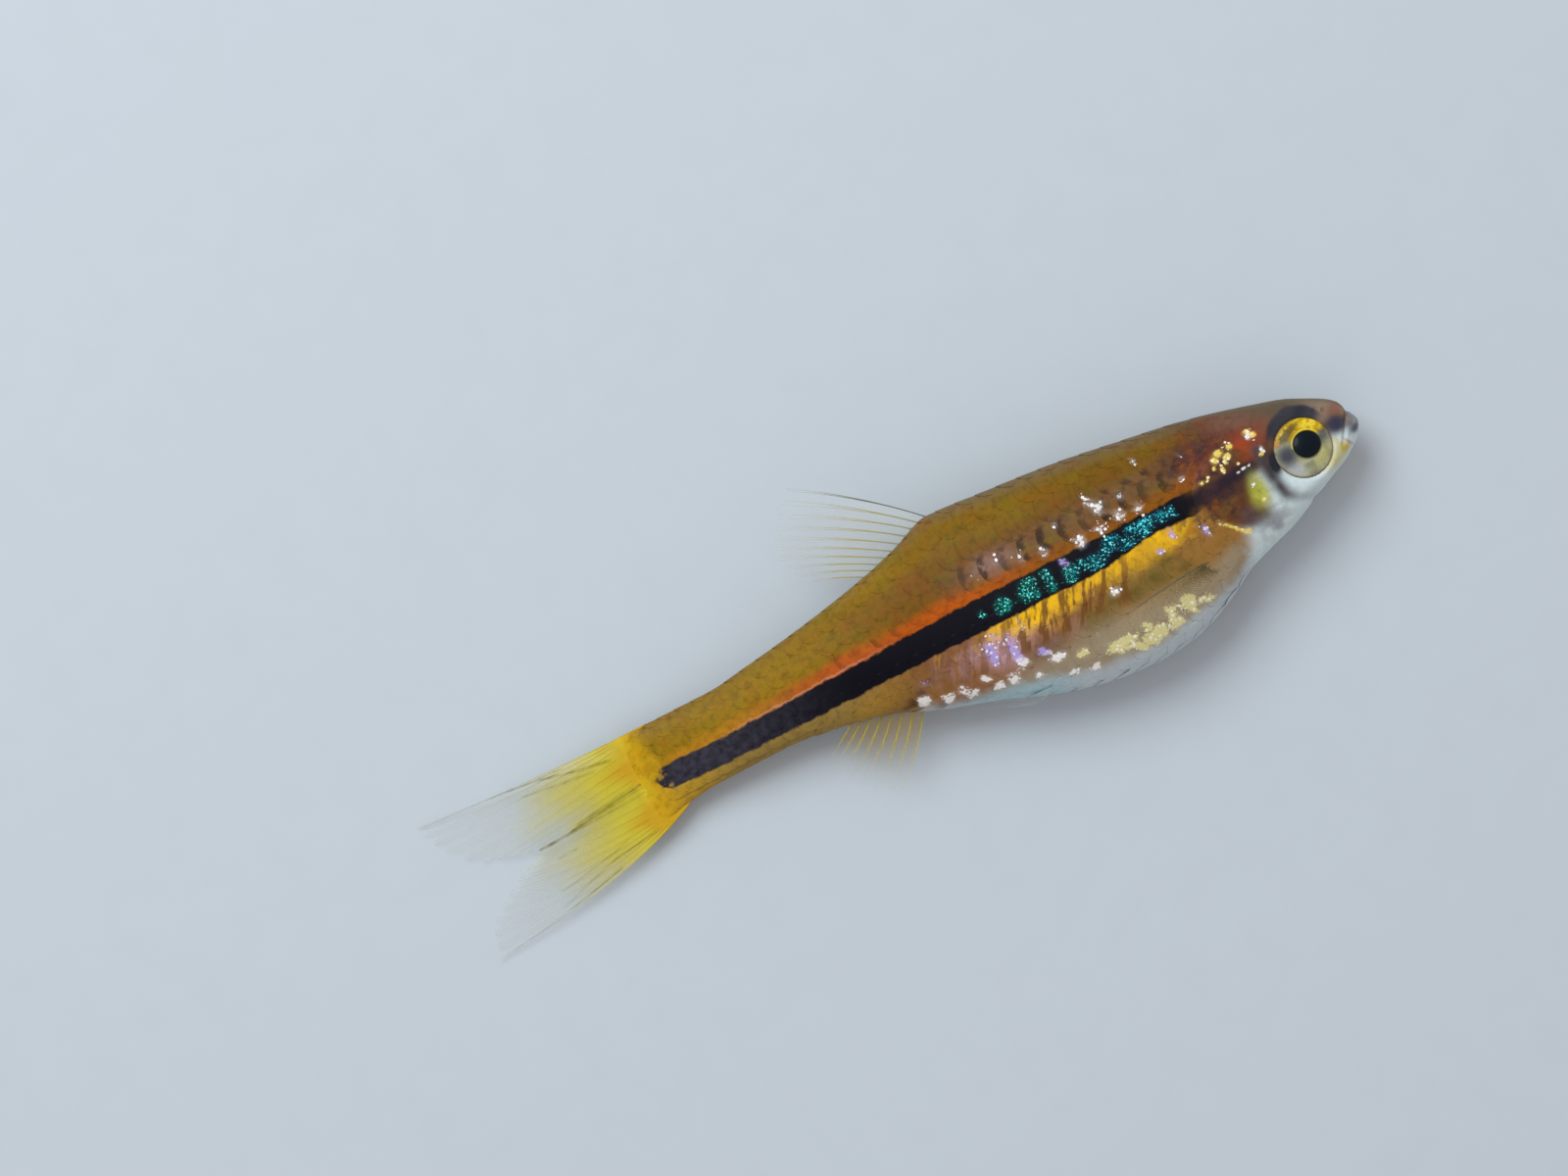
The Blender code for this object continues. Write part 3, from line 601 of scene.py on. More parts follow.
class RasboraMarkings(bpy.types.PropertyGroup):
    """The colours of the skin and the scales, as they show in plain light; some are painted highlights, and
    some are set lighter or darker as painted light and shade.
    """

    ridge: shade("Ridge", "Greyish edge of the back", 118, 102, 78)
    back: shade("Back", "Olive brown of the back behind the head", 122, 88, 14)
    back_rear: shade("Rear back", "Ochre of the back before the tail", 156, 120, 8)
    mid_back: shade("Mid back", "Rusty brown below the back", 112, 70, 0)
    pocket: shade("Pocket", "Grey brown middle of the scales over the orange line", 118, 88, 62)
    bar: shade("Bar", "Dark rear edge of those scales", 46, 27, 15)
    orange_front: shade("Front orange", "Orange line behind the head", 150, 81, 2)
    orange: shade("Orange", "Orange line over the anal fin", 185, 84, 0)
    orange_rear: shade("Rear orange", "Orange line before the tail", 194, 128, 24)
    stripe: shade("Stripe", "Blue black of the stripe", 8, 7, 18)
    stripe_rear: shade("Rear stripe", "Slate of the stripe before the tail", 58, 55, 66)
    seam: shade("Seam", "Pale pink line between the orange and the stripe", 222, 172, 150)
    teal_deep: shade("Deep teal", "Dark blue green under the front glitter", 0, 52, 72)
    teal_deep_rear: shade("Rear deep teal", "Dark sea green under the rear glitter", 0, 60, 56)
    teal: shade("Teal", "Turquoise of the front glitter", 0, 168, 184)
    teal_rear: shade("Rear teal", "Sea green of the rear glitter", 0, 160, 140)
    # Pale teal: painted glints, the brightest specks over the turquoise glitter.
    teal_pale: shade("Pale teal", "Brightest specks of the glitter", 120, 250, 245)
    gold: shade("Gold", "Gold under the stripe", 255, 196, 20)
    flank: shade("Flank", "Brown gold of the flank", 154, 110, 52)
    flank_olive: shade("Olive flank", "Olive patch behind the pectoral fin's root", 126, 110, 52)
    flank_rust: shade("Rusty flank", "Rusty flank over the pelvic fins", 146, 96, 56)
    low_flank: shade("Low flank", "Yellowish grey over the belly", 164, 150, 126)
    flank_dusk: shade("Dusky flank", "Purple brown slants between the gold ones", 112, 70, 30)
    amber: shade("Amber", "Orange yellow at the end of the tail stalk", 204, 158, 22)
    lemon: shade("Lemon", "Yellow at the very end of the tail stalk", 226, 210, 50)
    # Stalk: its own olive yellow, set lighter as painted light where the underside of the tail stalk turns
    # from the lamp.
    stalk: shade("Stalk", "Olive yellow under the stripe of the tail stalk", 152, 124, 62)
    # The belly colours are its own pale blue grey, set lighter as painted light where the belly turns from
    # the lamp and light shows through it.
    belly: shade("Belly", "Clear blue grey of the belly", 192, 202, 207)
    belly_cyan: shade("Blue belly", "Bluish rear of the belly", 170, 196, 204)
    head_top: shade("Head", "Brown of the top of the head", 100, 60, 42)
    brow: shade("Brow", "Grey brown over the eye", 94, 82, 66)
    snout: shade("Snout", "Fawn of the snout", 146, 124, 106)
    red: shade("Red", "Red brown patch behind the eye", 174, 68, 30)
    opercle: shade("Gill cover", "Brown of the gill cover", 100, 62, 38)
    purple: shade("Purple", "Purple black of the stripe on the gill cover", 42, 31, 44)
    patch: shade("Green patch", "Green yellow patch on the gill cover", 186, 186, 70)
    # Groove: grey of the skin; laid along the preopercle groove it is partly painted shade in the groove.
    groove: shade("Groove", "Grey of the groove before the gill cover", 74, 66, 72)
    # Cheek, chin, chin patch and lip are set lighter than their own pale colours: painted light where the
    # head's underside turns from the lamp.
    cheek: shade("Cheek", "Pale clear cheek and throat", 212, 227, 230)
    chin: shade("Chin", "Pale olive under the mouth", 208, 198, 142)
    chin_yellow: shade("Chin patch", "Yellow patch at the corner of the mouth", 206, 186, 84)
    blotch: shade("Blotch", "Slate blotch on the snout", 58, 60, 78)
    lip: shade("Lip", "Grey of the jaw's tip", 146, 150, 156)
    # Crescent: painted shadow of the eye's socket over the eye, partly its own slate; the same slate also
    # marks the stripe behind the eye.
    crescent: shade("Crescent", "Slate crescent over the eye", 56, 56, 66)
    # The flash colours below, and the violet one further down, are painted highlights: where the mirror
    # flecks of the scales catch the light.
    flash_white: shade("White flash", "Silver white of the mirror flecks", 255, 252, 250)
    flash_yellow: shade("Yellow flash", "Gold flecks behind the eye", 250, 222, 110)
    flash_pale: shade("Pale flash", "Pale yellow flecks along the belly", 238, 228, 160)
    moss: shade("Moss", "Greenish clouds on the back", 118, 104, 6)
    rust: shade("Rust", "Reddish clouds on the back and the head", 140, 70, 10)
    dusk_violet: shade("Dusky violet", "Pinkish brown streaks over the anal fin", 206, 164, 172)
    # Violet flash: a painted violet highlight.
    flash_violet: shade("Violet flash", "Violet sheen over the anal fin", 178, 160, 232)


class RasboraScales(bpy.types.PropertyGroup):
    """The sizes of the scales, in millimetres unless they are shares."""

    sunk: size_mm("Sunk", "How deep the front edge of a scale lies under the bare body", 0.035, 0, 0.3)
    lift: size_mm("Lift", "How far the rear edge of a scale stands over the bare body", 0.014, 0, 0.5)
    thickness: size_mm("Thickness", "Thickness of a scale", 0.022, 0.01, 0.2)
    overlap: ratio("Overlap", "How far a scale reaches to its rear, as a share of the spacing", 0.8, 0.5, 1.2)
    breadth: ratio("Breadth", "Half a scale's width, as a share of the spacing of the rows", 0.62, 0.5, 0.8)


class RasboraEye(bpy.types.PropertyGroup):
    """The eye's sizes in millimetres, and its colours."""

    radius: size_mm("Radius", "Radius of the open part of the eye", EYE_RADIUS, 0.5, 5)
    dome: size_mm("Dome", "How far the iris bulges from its rim", 0.55, 0, 2)
    lens: size_mm("Lens", "How far the lens stands out of the iris", 0.17, 0, 1)
    pupil_radius: size_mm("Pupil radius", "Radius of the pupil", 0.97, 0.1, 2)
    pupil: shade("Pupil", "Blue black of the pupil", 0, 16, 26)
    gold: shade("Gold", "Gold of the upper iris", 206, 164, 6)
    gold_pale: shade("Pale gold", "Brightest gold of the iris", 255, 226, 70)
    bronze: shade("Bronze", "Olive bronze between the gold lines", 104, 84, 34)
    rust: shade("Rust", "Rusty tip of the gold", 196, 104, 44)
    # The lower iris colours, silver, pearl and yellow, are partly painted light, standing in for light
    # through the clear cornea.
    silver: shade("Silver", "Silver olive of the lower iris", 178, 178, 140)
    pearl: shade("Pearl", "Bluish white of the lower rear iris", 190, 196, 208)
    yellow: shade("Yellow", "Yellow wash under the pupil", 196, 190, 108)
    grey: shade("Grey", "Grey before and behind the pupil", 70, 71, 82)
    rim: shade("Rim", "Brown line under the eye", 112, 76, 62)


class RasboraFins(bpy.types.PropertyGroup):
    """The colours of the fins, and the thickness of their rays in millimetres."""

    ray: size_mm("Ray", "Radius of one strand of a ray at its root", 0.05, 0.01, 0.3)
    ray_tip: size_mm("Ray tip", "Radius of one strand at its tip", 0.02, 0.005, 0.2)
    membrane: size_mm("Membrane", "Thickness of the skin between the rays", 0.03, 0.01, 0.3)
    fold: size_mm("Fold", "How deep the skin dips between two rays", 0.012, 0, 0.3)
    amber: shade("Amber", "Orange yellow at the root of the tail fin", 204, 158, 22)
    yellow: shade("Yellow", "Yellow of the tail fin's lobes", 226, 210, 50)
    stain: shade("Stain", "Brownish yellow at the root of the anal fin", 164, 130, 50)
    clear: shade("Clear", "Colour of the clear fin skin", 214, 220, 218)
    pale: shade("Pale ray", "Straw yellow of the dorsal rays", 204, 184, 92)
    dark: shade("Dark ray", "Dark olive of the tail fin's marked rays", 46, 42, 24)
    grey: shade("Grey ray", "Grey of the outer rays", 124, 128, 118)


class RasboraStage(bpy.types.PropertyGroup):
    """The floor, the light and the camera. The camera looks straight down, turned as the fish lies in the
    frame."""

    floor: shade("Floor", "Pale floor", 197, 205, 213)
    sky: bpy.props.FloatProperty(name="Ambient", default=0.555, min=0, max=2,
                                 description="Brightness of the soft light from all round")
    power: bpy.props.FloatProperty(name="Lamp", default=1.31, min=0, max=20, unit="POWER",
                                   description="Power of the soft lamp")
    turn: bpy.props.FloatProperty(name="Turn", default=-math.radians(27.2), subtype="ANGLE",
                                  description="How the camera is turned about the vertical")
    lens: bpy.props.FloatProperty(name="Lens", default=202.4, min=10, max=300, unit="CAMERA",
                                  description="Focal length of the camera")
    height: bpy.props.FloatProperty(name="Height", default=0.6035, min=0.05, max=2, unit="LENGTH",
                                    description="Height of the camera over the floor")
    centre: bpy.props.FloatVectorProperty(name="Centre", default=(-0.00498, 0.00503), size=2, unit="LENGTH",
                                          description="Place over which the camera hangs")


def ink(setting):
    """A colour setting as linear light."""
    return srgb(*[255 * channel for channel in setting])


def blend(first, second, share):
    """Two colours mixed by an array of shares."""
    return np.asarray(first) * (1 - share[..., None]) + np.asarray(second) * share[..., None]


# The stripe's edges, the orange line's upper edge and the lower edge of the glittering flank, in the side
# view.
STRIPE_TOP = [(11, 1.2), (14, 1.3), (20, 1.3), (30, 1.35), (36, 1.15), (45, 0.9), (50, 0.84), (52, 0.96),
              (52.9, 0.9), (53.6, 0.62), (54.4, 0.5)]
STRIPE_BOTTOM = [(11, 0.1), (13, -0.35), (16, -0.25), (20, -0.82), (30, -0.85), (40, -0.9), (50, -0.88),
                 (52.2, -0.82), (53, -0.74), (53.7, -0.4), (54.4, -0.2)]
stripe_top, stripe_bottom = smooth(STRIPE_TOP), smooth(STRIPE_BOTTOM)
ORANGE_TOP = smooth([(11, 2.2), (20, 2.15), (32, 2.2), (40, 1.95), (46, 1.65), (50, 1.5), (54, 1.4)])
FLASH_LINE = smooth([(10, -3.6), (13, -5.3), (16, -6.1), (20, -6.6), (24, -6.1), (27, -5.2), (30, -4.5),
                     (33, -3.9), (36, -3.2), (40, -2.6), (54, -2.4)])
# Turquoise glitter in the stripe: place, half length, half height.
GLITTER = [
    (14.35, 0.55, 0.3, 0.4), (15.2, 0.7, 0.4, 0.45), (16.3, 0.75, 0.62, 0.55), (17.2, 0.95, 0.5, 0.36),
    (16.5, 0.2, 0.5, 0.3), (17.9, -0.05, 0.62, 0.34), (18.9, 0.75, 0.5, 0.42), (19.5, 0.3, 0.4, 0.34),
    (20.4, -0.15, 0.6, 0.42), (21.2, 0.1, 0.24, 0.24), (22.2, 0.1, 0.5, 0.5), (22.4, -0.4, 0.4, 0.24),
    (23.85, 0.6, 0.34, 0.5), (23.8, -0.2, 0.34, 0.42), (25.2, 0.65, 0.56, 0.45), (25.6, 0.1, 0.5, 0.5),
    (25.1, -0.2, 0.4, 0.3), (27.3, 0.15, 0.5, 0.5), (27.6, -0.15, 0.3, 0.3), (28.9, 0.35, 0.22, 0.3),
]

# Painted highlights, where the mirror flecks of the scales catch the light: place, half length, half height,
# all in the side view.
WHITE_FLASHES = [
    (18.65, 3.1, 0.42, 0.36), (19.1, 3.8, 0.2, 0.36), (17.55, 1.9, 0.36, 0.3), (16.15, 1.8, 0.32, 0.26),
    (19.1, 1.7, 0.36, 0.22), (20.7, 1.65, 0.36, 0.4), (16.95, 3.1, 0.24, 0.34, 0.7),
    (23.25, 2.1, 0.28, 0.3, 0.85), (24.85, 2.4, 0.18, 0.42, 0.7), (12.65, 2.25, 0.22, 0.14, 0.8),
    (12.0, 3.75, 0.22, 0.18, 0.6), (15.1, 4.8, 0.16, 0.18), (21.8, 3.35, 0.22, 0.16, 0.6),
    (20.15, 2.45, 0.24, 0.2, 0.8), (26.4, 2.9, 0.3, 0.4, 0.35), (27.9, 2.9, 0.26, 0.36, 0.25),
    (35.0, -3.25, 0.4, 0.34), (33.45, -3.85, 0.38, 0.28), (32.3, -3.75, 0.36, 0.2), (31.8, -4.25, 0.36, 0.24),
    (30.6, -3.8, 0.3, 0.22), (30.0, -4.6, 0.34, 0.2), (28.9, -4.7, 0.32, 0.34), (27.9, -4.05, 0.4, 0.2),
    (27.3, -5.1, 0.36, 0.2), (25.6, -4.7, 0.5, 0.28), (22.5, -4.75, 0.2, 0.16), (25.0, -6.1, 0.32, 0.22),
    (23.6, -6.5, 0.32, 0.24), (18.8, -1.4, 0.26, 0.18), (20.2, -2.55, 0.36, 0.18), (8.5, -0.35, 0.16, 0.12),
    (9.05, 0.85, 0.13, 0.09), (8.6, 0.92, 0.2, 0.08), (8.2, 0.95, 0.1, 0.09), (12.5, -2.75, 0.14, 0.1),
    (12.75, -1.95, 0.12, 0.18), (26.9, -1.6, 0.2, 0.3), (6.9, 1.55, 0.14, 0.2), (7.35, 2.75, 0.2, 0.24),
]
# Painted gold highlights, mostly behind the eye.
YELLOW_FLASHES = [
    (9.7, 2.6, 0.36, 0.26), (10.15, 2.3, 0.24, 0.28), (9.9, 1.5, 0.16, 0.24), (8.8, 2.7, 0.24, 0.22),
    (9.25, 2.15, 0.28, 0.24), (8.8, 1.4, 0.12, 0.1), (7.3, 3.05, 0.3, 0.18), (7.0, 2.7, 0.24, 0.2),
    (11.6, 1.35, 0.2, 0.13), (11.2, 1.3, 0.14, 0.1), (7.1, 1.25, 0.18, 0.14), (10.4, 1.8, 0.14, 0.12),
    (8.3, -1.55, 0.16, 0.14), (9.5, 1.9, 0.14, 0.2), (11.05, 1.45, 0.12, 0.12), (10.3, -2.95, 0.26, 0.16),
    (10.85, -2.5, 0.16, 0.16),
]
# Painted pale yellow highlights along the belly.
PALE_FLASHES = [
    (21.5, -5.95, 0.85, 0.34), (20.8, -6.05, 0.6, 0.44), (19.2, -6.45, 0.6, 0.45), (18.6, -6.3, 0.55, 0.4),
    (17.4, -6.2, 0.5, 0.4), (16.1, -5.4, 0.5, 0.46), (15.9, -6.3, 0.34, 0.2), (14.9, -5.75, 0.55, 0.24),
    (20.1, -6.85, 0.34, 0.18), (24.0, -5.2, 0.4, 0.34), (19.3, -5.7, 0.3, 0.3), (17.4, -5.3, 0.34, 0.26),
]
# Painted violet highlights.
VIOLET_FLASHES = [
    (29.5, -2.4, 0.34, 0.8), (28.05, -2.8, 0.26, 0.95), (26.3, -3.9, 0.3, 0.3), (22.4, 0.9, 0.26, 0.24),
    (20.35, 1.2, 0.3, 0.18), (15.0, -0.75, 0.22, 0.36), (16.2, -1.6, 0.2, 0.24), (34.4, -2.3, 0.26, 0.2, 0.8),
    (12.8, -1.6, 0.2, 0.36), (29.0, -1.6, 0.2, 0.3),
]
DUSKY_STREAKS = [
    (31.0, -2.2, 0.3, 0.9), (33.0, -2.0, 0.3, 0.9), (32.0, -2.0, 0.24, 0.7), (30.2, -1.8, 0.3, 0.6),
    (25.8, -2.6, 0.4, 0.7), (24.6, -2.8, 0.4, 0.6), (27.2, -3.4, 0.4, 0.7), (22.8, -3.4, 0.5, 0.6),
    (34.2, -2.4, 0.4, 0.5),
]
OLIVE_SPOTS = [(19.1, -3.2, 0.7, 0.5), (17.3, -2.9, 0.7, 0.5), (16.1, -2.2, 0.5, 0.4),
               (20.6, -2.9, 0.4, 0.4), (15.2, -3.1, 0.5, 0.3)]
# A painted gold highlight in a line on the gill cover.
GOLD_LINE = [(11.75, -1.65), (11.2, -2.1), (10.6, -2.75), (10.1, -3.12)]


def flashes(s, y, places):
    """The strongest of a list of painted highlights at each place. A fifth number, where a highlight has one,
    is its strength."""
    strength = np.zeros(np.broadcast(s, y).shape)
    for at_s, at_y, long, high, *level in places:
        strength = np.maximum(strength, blob(s, y, (at_s, at_y), (long * 1.15, high * 1.15))
                              * (level[0] if level else 1))
    return strength


def flash_values(s, y, look):
    """How much painted highlight each place has, and in what colour."""
    amount, tint = np.zeros(s.shape), np.zeros((*s.shape, 3)) + ink(look.flash_white)
    kinds = ((WHITE_FLASHES, look.flash_white), (YELLOW_FLASHES, look.flash_yellow),
             (PALE_FLASHES, look.flash_pale), (VIOLET_FLASHES, look.flash_violet))
    for places, colour in kinds:
        found = flashes(s, y, places)
        tint = np.where((found > amount)[..., None], ink(colour), tint)
        amount = np.maximum(amount, found)
    gap, _ = line_distance(s, y, GOLD_LINE)
    found = np.exp(-((gap / 0.15) ** 2))
    tint = np.where((found > amount)[..., None], ink(look.flash_yellow), tint)
    return np.maximum(amount, found), tint


def tail_reach(s, y):
    """How far back a place of the tail is, as its yellow sees it: s, less in the lobes, with cloudy
    borders."""
    lobe = np.exp(-(((y - 1.9) / 1.5) ** 2)) + np.exp(-(((y + 1.9) / 1.3) ** 2))
    cloud = grain(np.stack([s * 0.8, y * 1.6, 0 * s], axis=-1), 1.0, 43)
    return s - 1.8 * (lobe - 0.6) + (cloud - 0.5) * 1.7


class Coat:
    """Colours at places of the side view, to which further ones are laid."""

    def __init__(self, s, y, look, tint):
        self.s, self.y, self.look, self.tint = s, y, look, tint

    def lay(self, colour, amount, tone=1.0):
        """Lays a colour, or a named setting times a tone, by an amount at each place."""
        if isinstance(colour, str):
            colour = ink(getattr(self.look, colour)) * tone
        self.tint = layer(self.tint, colour, amount)

    def dab(self, colour, centre, radii, turn=0.0, amount=1.0, tone=1.0):
        """The same inside a soft ellipse."""
        self.lay(colour, blob(self.s, self.y, centre, radii, turn) * amount, tone)


def body_tint(s, y, look):
    """The soft markings of trunk and tail: bands along the back, the orange line, the flank and the belly."""
    spot = np.stack([s, y, np.zeros_like(s)], axis=-1)
    wander = (grain(spot, 0.9, 3) - 0.5) * 0.3 + (grain(spot, 0.35, 4) - 0.5) * 0.16
    top = back(s)
    upper, under = stripe_top(s), stripe_bottom(s)
    coat = Coat(s, y, look, blend(ink(look.back), ink(look.back_rear), fade(s, 15, 42)))
    coat.lay("mid_back", band(y, 1.6, 4.9, 1.8) * fade(s, 12, 19) * (1 - 0.8 * fade(s, 32, 44)) * 0.8)
    coat.lay("pocket", band(y + wander, 2.0, 4.0, 0.7) * band(s, 11, 30.5, 3) * 0.6)
    coat.dab("mid_back", (29.5, 5.4), (3.2, 1.7), amount=0.45)
    coat.dab("dusk_violet", (26.7, 3.0), (1.5, 0.7), amount=0.25)
    coat.lay("ridge", fade(y, top - 1.3, top - 0.05) * (0.7 - 0.4 * band(s, 30, 60, 8)))
    orange = blend(ink(look.orange_front), ink(look.orange), band(s, 26, 43, 9))
    orange = blend(orange, ink(look.orange_rear), fade(s, 40, 50))
    orange = blend(orange, ink(look.seam), band(s, 35.5, 47, 4) * 0.03)
    line = band(y + wander * 0.7, upper - 0.6, ORANGE_TOP(s), 0.5) * fade(s, 11.8, 14)
    line = line * (1 - fade(s, 51.5, 53.5))
    coat.lay(orange, line * (0.65 + 0.35 * band(s, 24, 47, 8)))

    side = Coat(s, y, look, blend(ink(look.flank), ink(look.flank_rust), band(s, 22, 34, 6)))
    side.dab("flank_olive", (17.6, -2.9), (2.4, 1.2), 15, 0.45)
    side.dab("flank_olive", (22.2, -3.8), (1.6, 1.0), amount=0.8, tone=0.8)
    # The stalk's olive yellow, set lighter as painted light where the tail stalk turns from the lamp.
    side.lay("stalk", fade(s, 34, 42))
    side.dab("flank_rust", (32, -1.2), (2.4, 0.7), amount=0.8, tone=0.85)
    side.dab("low_flank", (26, -3.9), (1.4, 0.7), amount=0.8, tone=[0.5, 0.42, 0.46])
    # Painted light: amber that lightens the lower flank of the tail stalk where it turns from the lamp.
    side.dab("amber", (38, -2.1), (2.4, 0.7), -12, 0.3)
    side.lay("low_flank", (1 - fade(y, -5.2, -3.2)) * (1 - fade(s, 26, 34)) * 0.85)
    gold_end = -1.7 - 0.6 * band(s, 23, 30, 3) + wander * 3
    gold = band(y, gold_end, under + 0.6, 0.9) * band(s + 0.5 * y, 13.2, 29, 1.6)
    side.lay("gold", gold * (0.45 + 0.55 * grain(spot * [1, 0.5, 1], 0.8, 7)))
    side.lay("dusk_violet", flashes(s + 0.25 * y, y, DUSKY_STREAKS)
             * (0.15 + 0.6 * blob(s, y, (30, -2.8), (2.4, 1.1))))
    side.dab("dusk_violet", (28.7, -2.6), (1.4, 0.9))
    side.lay("flank_olive", flashes(s, y, OLIVE_SPOTS) * 0.75, 0.6)
    side.dab("flank_rust", (35.0, -1.9), (2.6, 1.0), amount=0.4, tone=0.6)
    side.dab("flank_dusk", (26.0, -3.9), (1.6, 0.8), amount=0.35)
    side.lay("amber", fade(s + 0.6 * y, 46.5, 52) * 0.6)
    # The pale belly below the line of flecks: its own blue grey, set lighter as painted light on the
    # underside.
    edge = FLASH_LINE(s) - 0.35 + wander
    pale = blend(ink(look.belly), ink(look.belly_cyan), band(s, 25.5, 33, 3))
    side.lay(pale, (1 - fade(y, edge - 0.5, edge + 0.35)) * (1 - fade(s, 36, 39)))
    side.dab("bar", (36.4, -3.4), (2.3, 0.3), -24, fade(wander, -0.12, 0.1) * 0.9)
    side.dab("bar", (34.0, -4.05), (1.1, 0.2), -24, fade(wander, -0.12, 0.1) * 0.7)
    tint = np.where((y < (upper + under) / 2)[..., None], side.tint, coat.tint)
    end = blend(ink(look.amber), ink(look.lemon), fade(tail_reach(s, y), 53.9, 57.4))
    return layer(tint, end, fade(s + wander * 2, 52.6, 53.9) * (0.92 + 0.08 * fade(s, 53.5, 54.5)))


def head_tint(s, y, look, tint):
    """The markings of the head, laid over those of the body: soft patches, from the largest to the
    smallest."""
    coat = Coat(s, y, look, tint)
    spot = np.stack([s, y, np.zeros_like(s)], axis=-1)
    wander = (grain(spot, 0.7, 13) - 0.5) * 0.4
    cloud = grain(spot, 0.45, 14)
    crown = blend(ink(look.head_top), ink(look.brow), 1 - fade(s, 5, 8.5))
    crown = blend(crown, ink(look.snout), 1 - fade(s, 1.5, 4.2))
    coat.lay(crown, (1 - fade(s, 9, 13.5)) * fade(y, 0.6, 1.6))
    coat.dab("red", (9.3, 2.2), (2.9, 1.1), -8, 0.65 + 0.3 * cloud)
    coat.dab("head_top", (10.8, 3.25), (3.1, 1.0), 4, 0.9, tone=[0.8, 0.55, 0.75])
    coat.dab("snout", (8.0, 4.2), (1.6, 0.6), 14, 0.5, tone=[0.8, 0.62, 0.6])
    coat.dab("red", (8.2, 1.9), (0.9, 0.9), amount=0.6)
    coat.dab("orange_front", (9.0, 1.75), (1.5, 0.4), -8, 0.8 * fade(cloud, 0.2, 0.6))
    coat.lay("ridge", fade(y, back(s) - 0.55, back(s) - 0.05) * (1 - fade(s, 10, 14)) * 0.7, 0.8)
    # The pale cheek and throat: their own colour, set lighter as painted light where the head turns from the
    # lamp.
    coat.lay("cheek", (1 - fade(s + 0.25 * y, 8.7, 10.3)) * (1 - fade(y, -0.2, 1.0)))
    coat.dab("low_flank", (12.0, -4.1), (1.2, 0.6), -25, 0.7)
    cover = inside(s, y, COVER)
    edge, _ = line_distance(s, y, COVER + COVER[:1])
    plate = np.where(cover, fade(edge, 0, 0.6), 0)
    coat.lay("opercle", plate * fade(y + wander, -3.3, -2.3) * fade(s, 7.4, 9.0))
    coat.lay("flank", plate * blob(s, y, (10.9, -0.9), (1.5, 0.4), -35) * 0.6, 0.55)
    coat.lay("groove", plate * blob(s, y, (9.6, -2.0), (0.7, 0.5)) * 0.7, [1.9, 1.4, 1.1])
    coat.lay("groove", plate * blob(s, y, (9.2, -2.6), (1.1, 0.8)) * 0.5)
    coat.dab("groove", (8.3, -3.4), (1.2, 0.6), -20, fade(cloud, 0.2, 0.7) * 0.6, tone=2.4)
    gap, _ = line_distance(s, y, [(13.8, 0.5), (12.2, 0.55), (10.4, 0.75), (9.2, 0.8), (8.0, 0.75)])
    stripe = np.exp(-((gap / (0.52 + wander * 0.4)) ** 4))
    coat.lay("purple", stripe * (0.95 - 0.25 * band(s, 10.6, 12, 0.8)))
    coat.dab("purple", (10.4, 0.1), (1.7, 0.55), -6, 0.65)
    coat.lay("patch", blob(s + wander * 0.6, y, (8.3, -0.9), (0.6, 1.05), 10) * 0.95)
    coat.dab("patch", (8.5, -0.9), (0.3, 0.5), 10, fade(cloud, 0.45, 0.7) * 0.7, tone=0.7)
    # A grey band along the preopercle groove, darker at its top: partly the skin's grey and partly painted
    # shade in the groove.
    gap, _ = line_distance(s, y, PREOPERCLE)
    coat.lay("groove", np.exp(-((gap / 0.5) ** 2)) * fade(y, -3.3, -1.8) * (0.85 + 0.15 * cloud))
    coat.dab("groove", (7.3, 0.2), (0.36, 0.9), amount=0.55, tone=0.75)
    coat.lay("crescent", np.clip(blob(s, y, (6.5, 0.3), (0.44, 0.76), 14) * 1.4, 0, 1), 0.6)
    flank_only = fade(y - belly(s), 0.08, 0.5)
    # Chin, chin patches and lip: their own colours, set lighter as painted light where the head's underside
    # turns from the lamp.
    coat.dab("chin", (2.6, -1.35), (1.8, 0.9), 35, 0.3 + 0.6 * flank_only)
    coat.dab("chin_yellow", (1.7, -1.0), (0.42, 0.34), 30, flank_only)
    coat.dab("chin_yellow", (2.05, -0.35), (0.2, 0.5), -30, 0.5)
    coat.dab("red", (1.3, -0.72), (0.1, 0.42), -35, 0.5)
    coat.dab("red", (1.25, 1.6), (0.6, 0.5), -35, 0.45, tone=0.6)
    coat.lay("lip", (1 - fade(s + 0.35 * y, 0.75, 1.2)) * fade(y, -0.6, 0.0) * 0.85)
    coat.dab("snout", (0.68, 0.42), (0.3, 0.2), -40, 0.7)
    coat.dab("blotch", (0.5, -0.08), (0.34, 0.22), -40, 0.8)
    coat.dab("blotch", (1.62, 0.7), (0.72, 0.6), 10)
    coat.dab("blotch", (1.5, 0.75), (0.5, 0.4), 10)
    coat.dab("groove", (2.45, 0.55), (0.34, 0.5), amount=0.7)
    # The slate crescent over the eye: painted shadow of the socket, partly its own slate, darker at its
    # front.
    orbit, around = np.hypot(s - CRESCENT_S, y - EYE_Y), np.degrees(np.arctan2(y - EYE_Y, s - CRESCENT_S))
    arch = 0.5 + 0.45 * np.cos(np.radians(np.clip((around - 92) * 1.6, -150, 150)))
    over = band(orbit + wander * 0.3, 1.95, 2.15 + 0.9 * arch, 0.26) * band(around, 40, 142, 22)
    coat.lay("crescent", over * 0.95)
    coat.lay("crescent", over * blob(s, y, (3.3, 2.75), (0.9, 0.35), -35) * 0.8, 0.7)
    return coat.tint


def rgba(colours):
    return np.concatenate([colours, np.ones((*colours.shape[:-1], 1))], axis=-1)


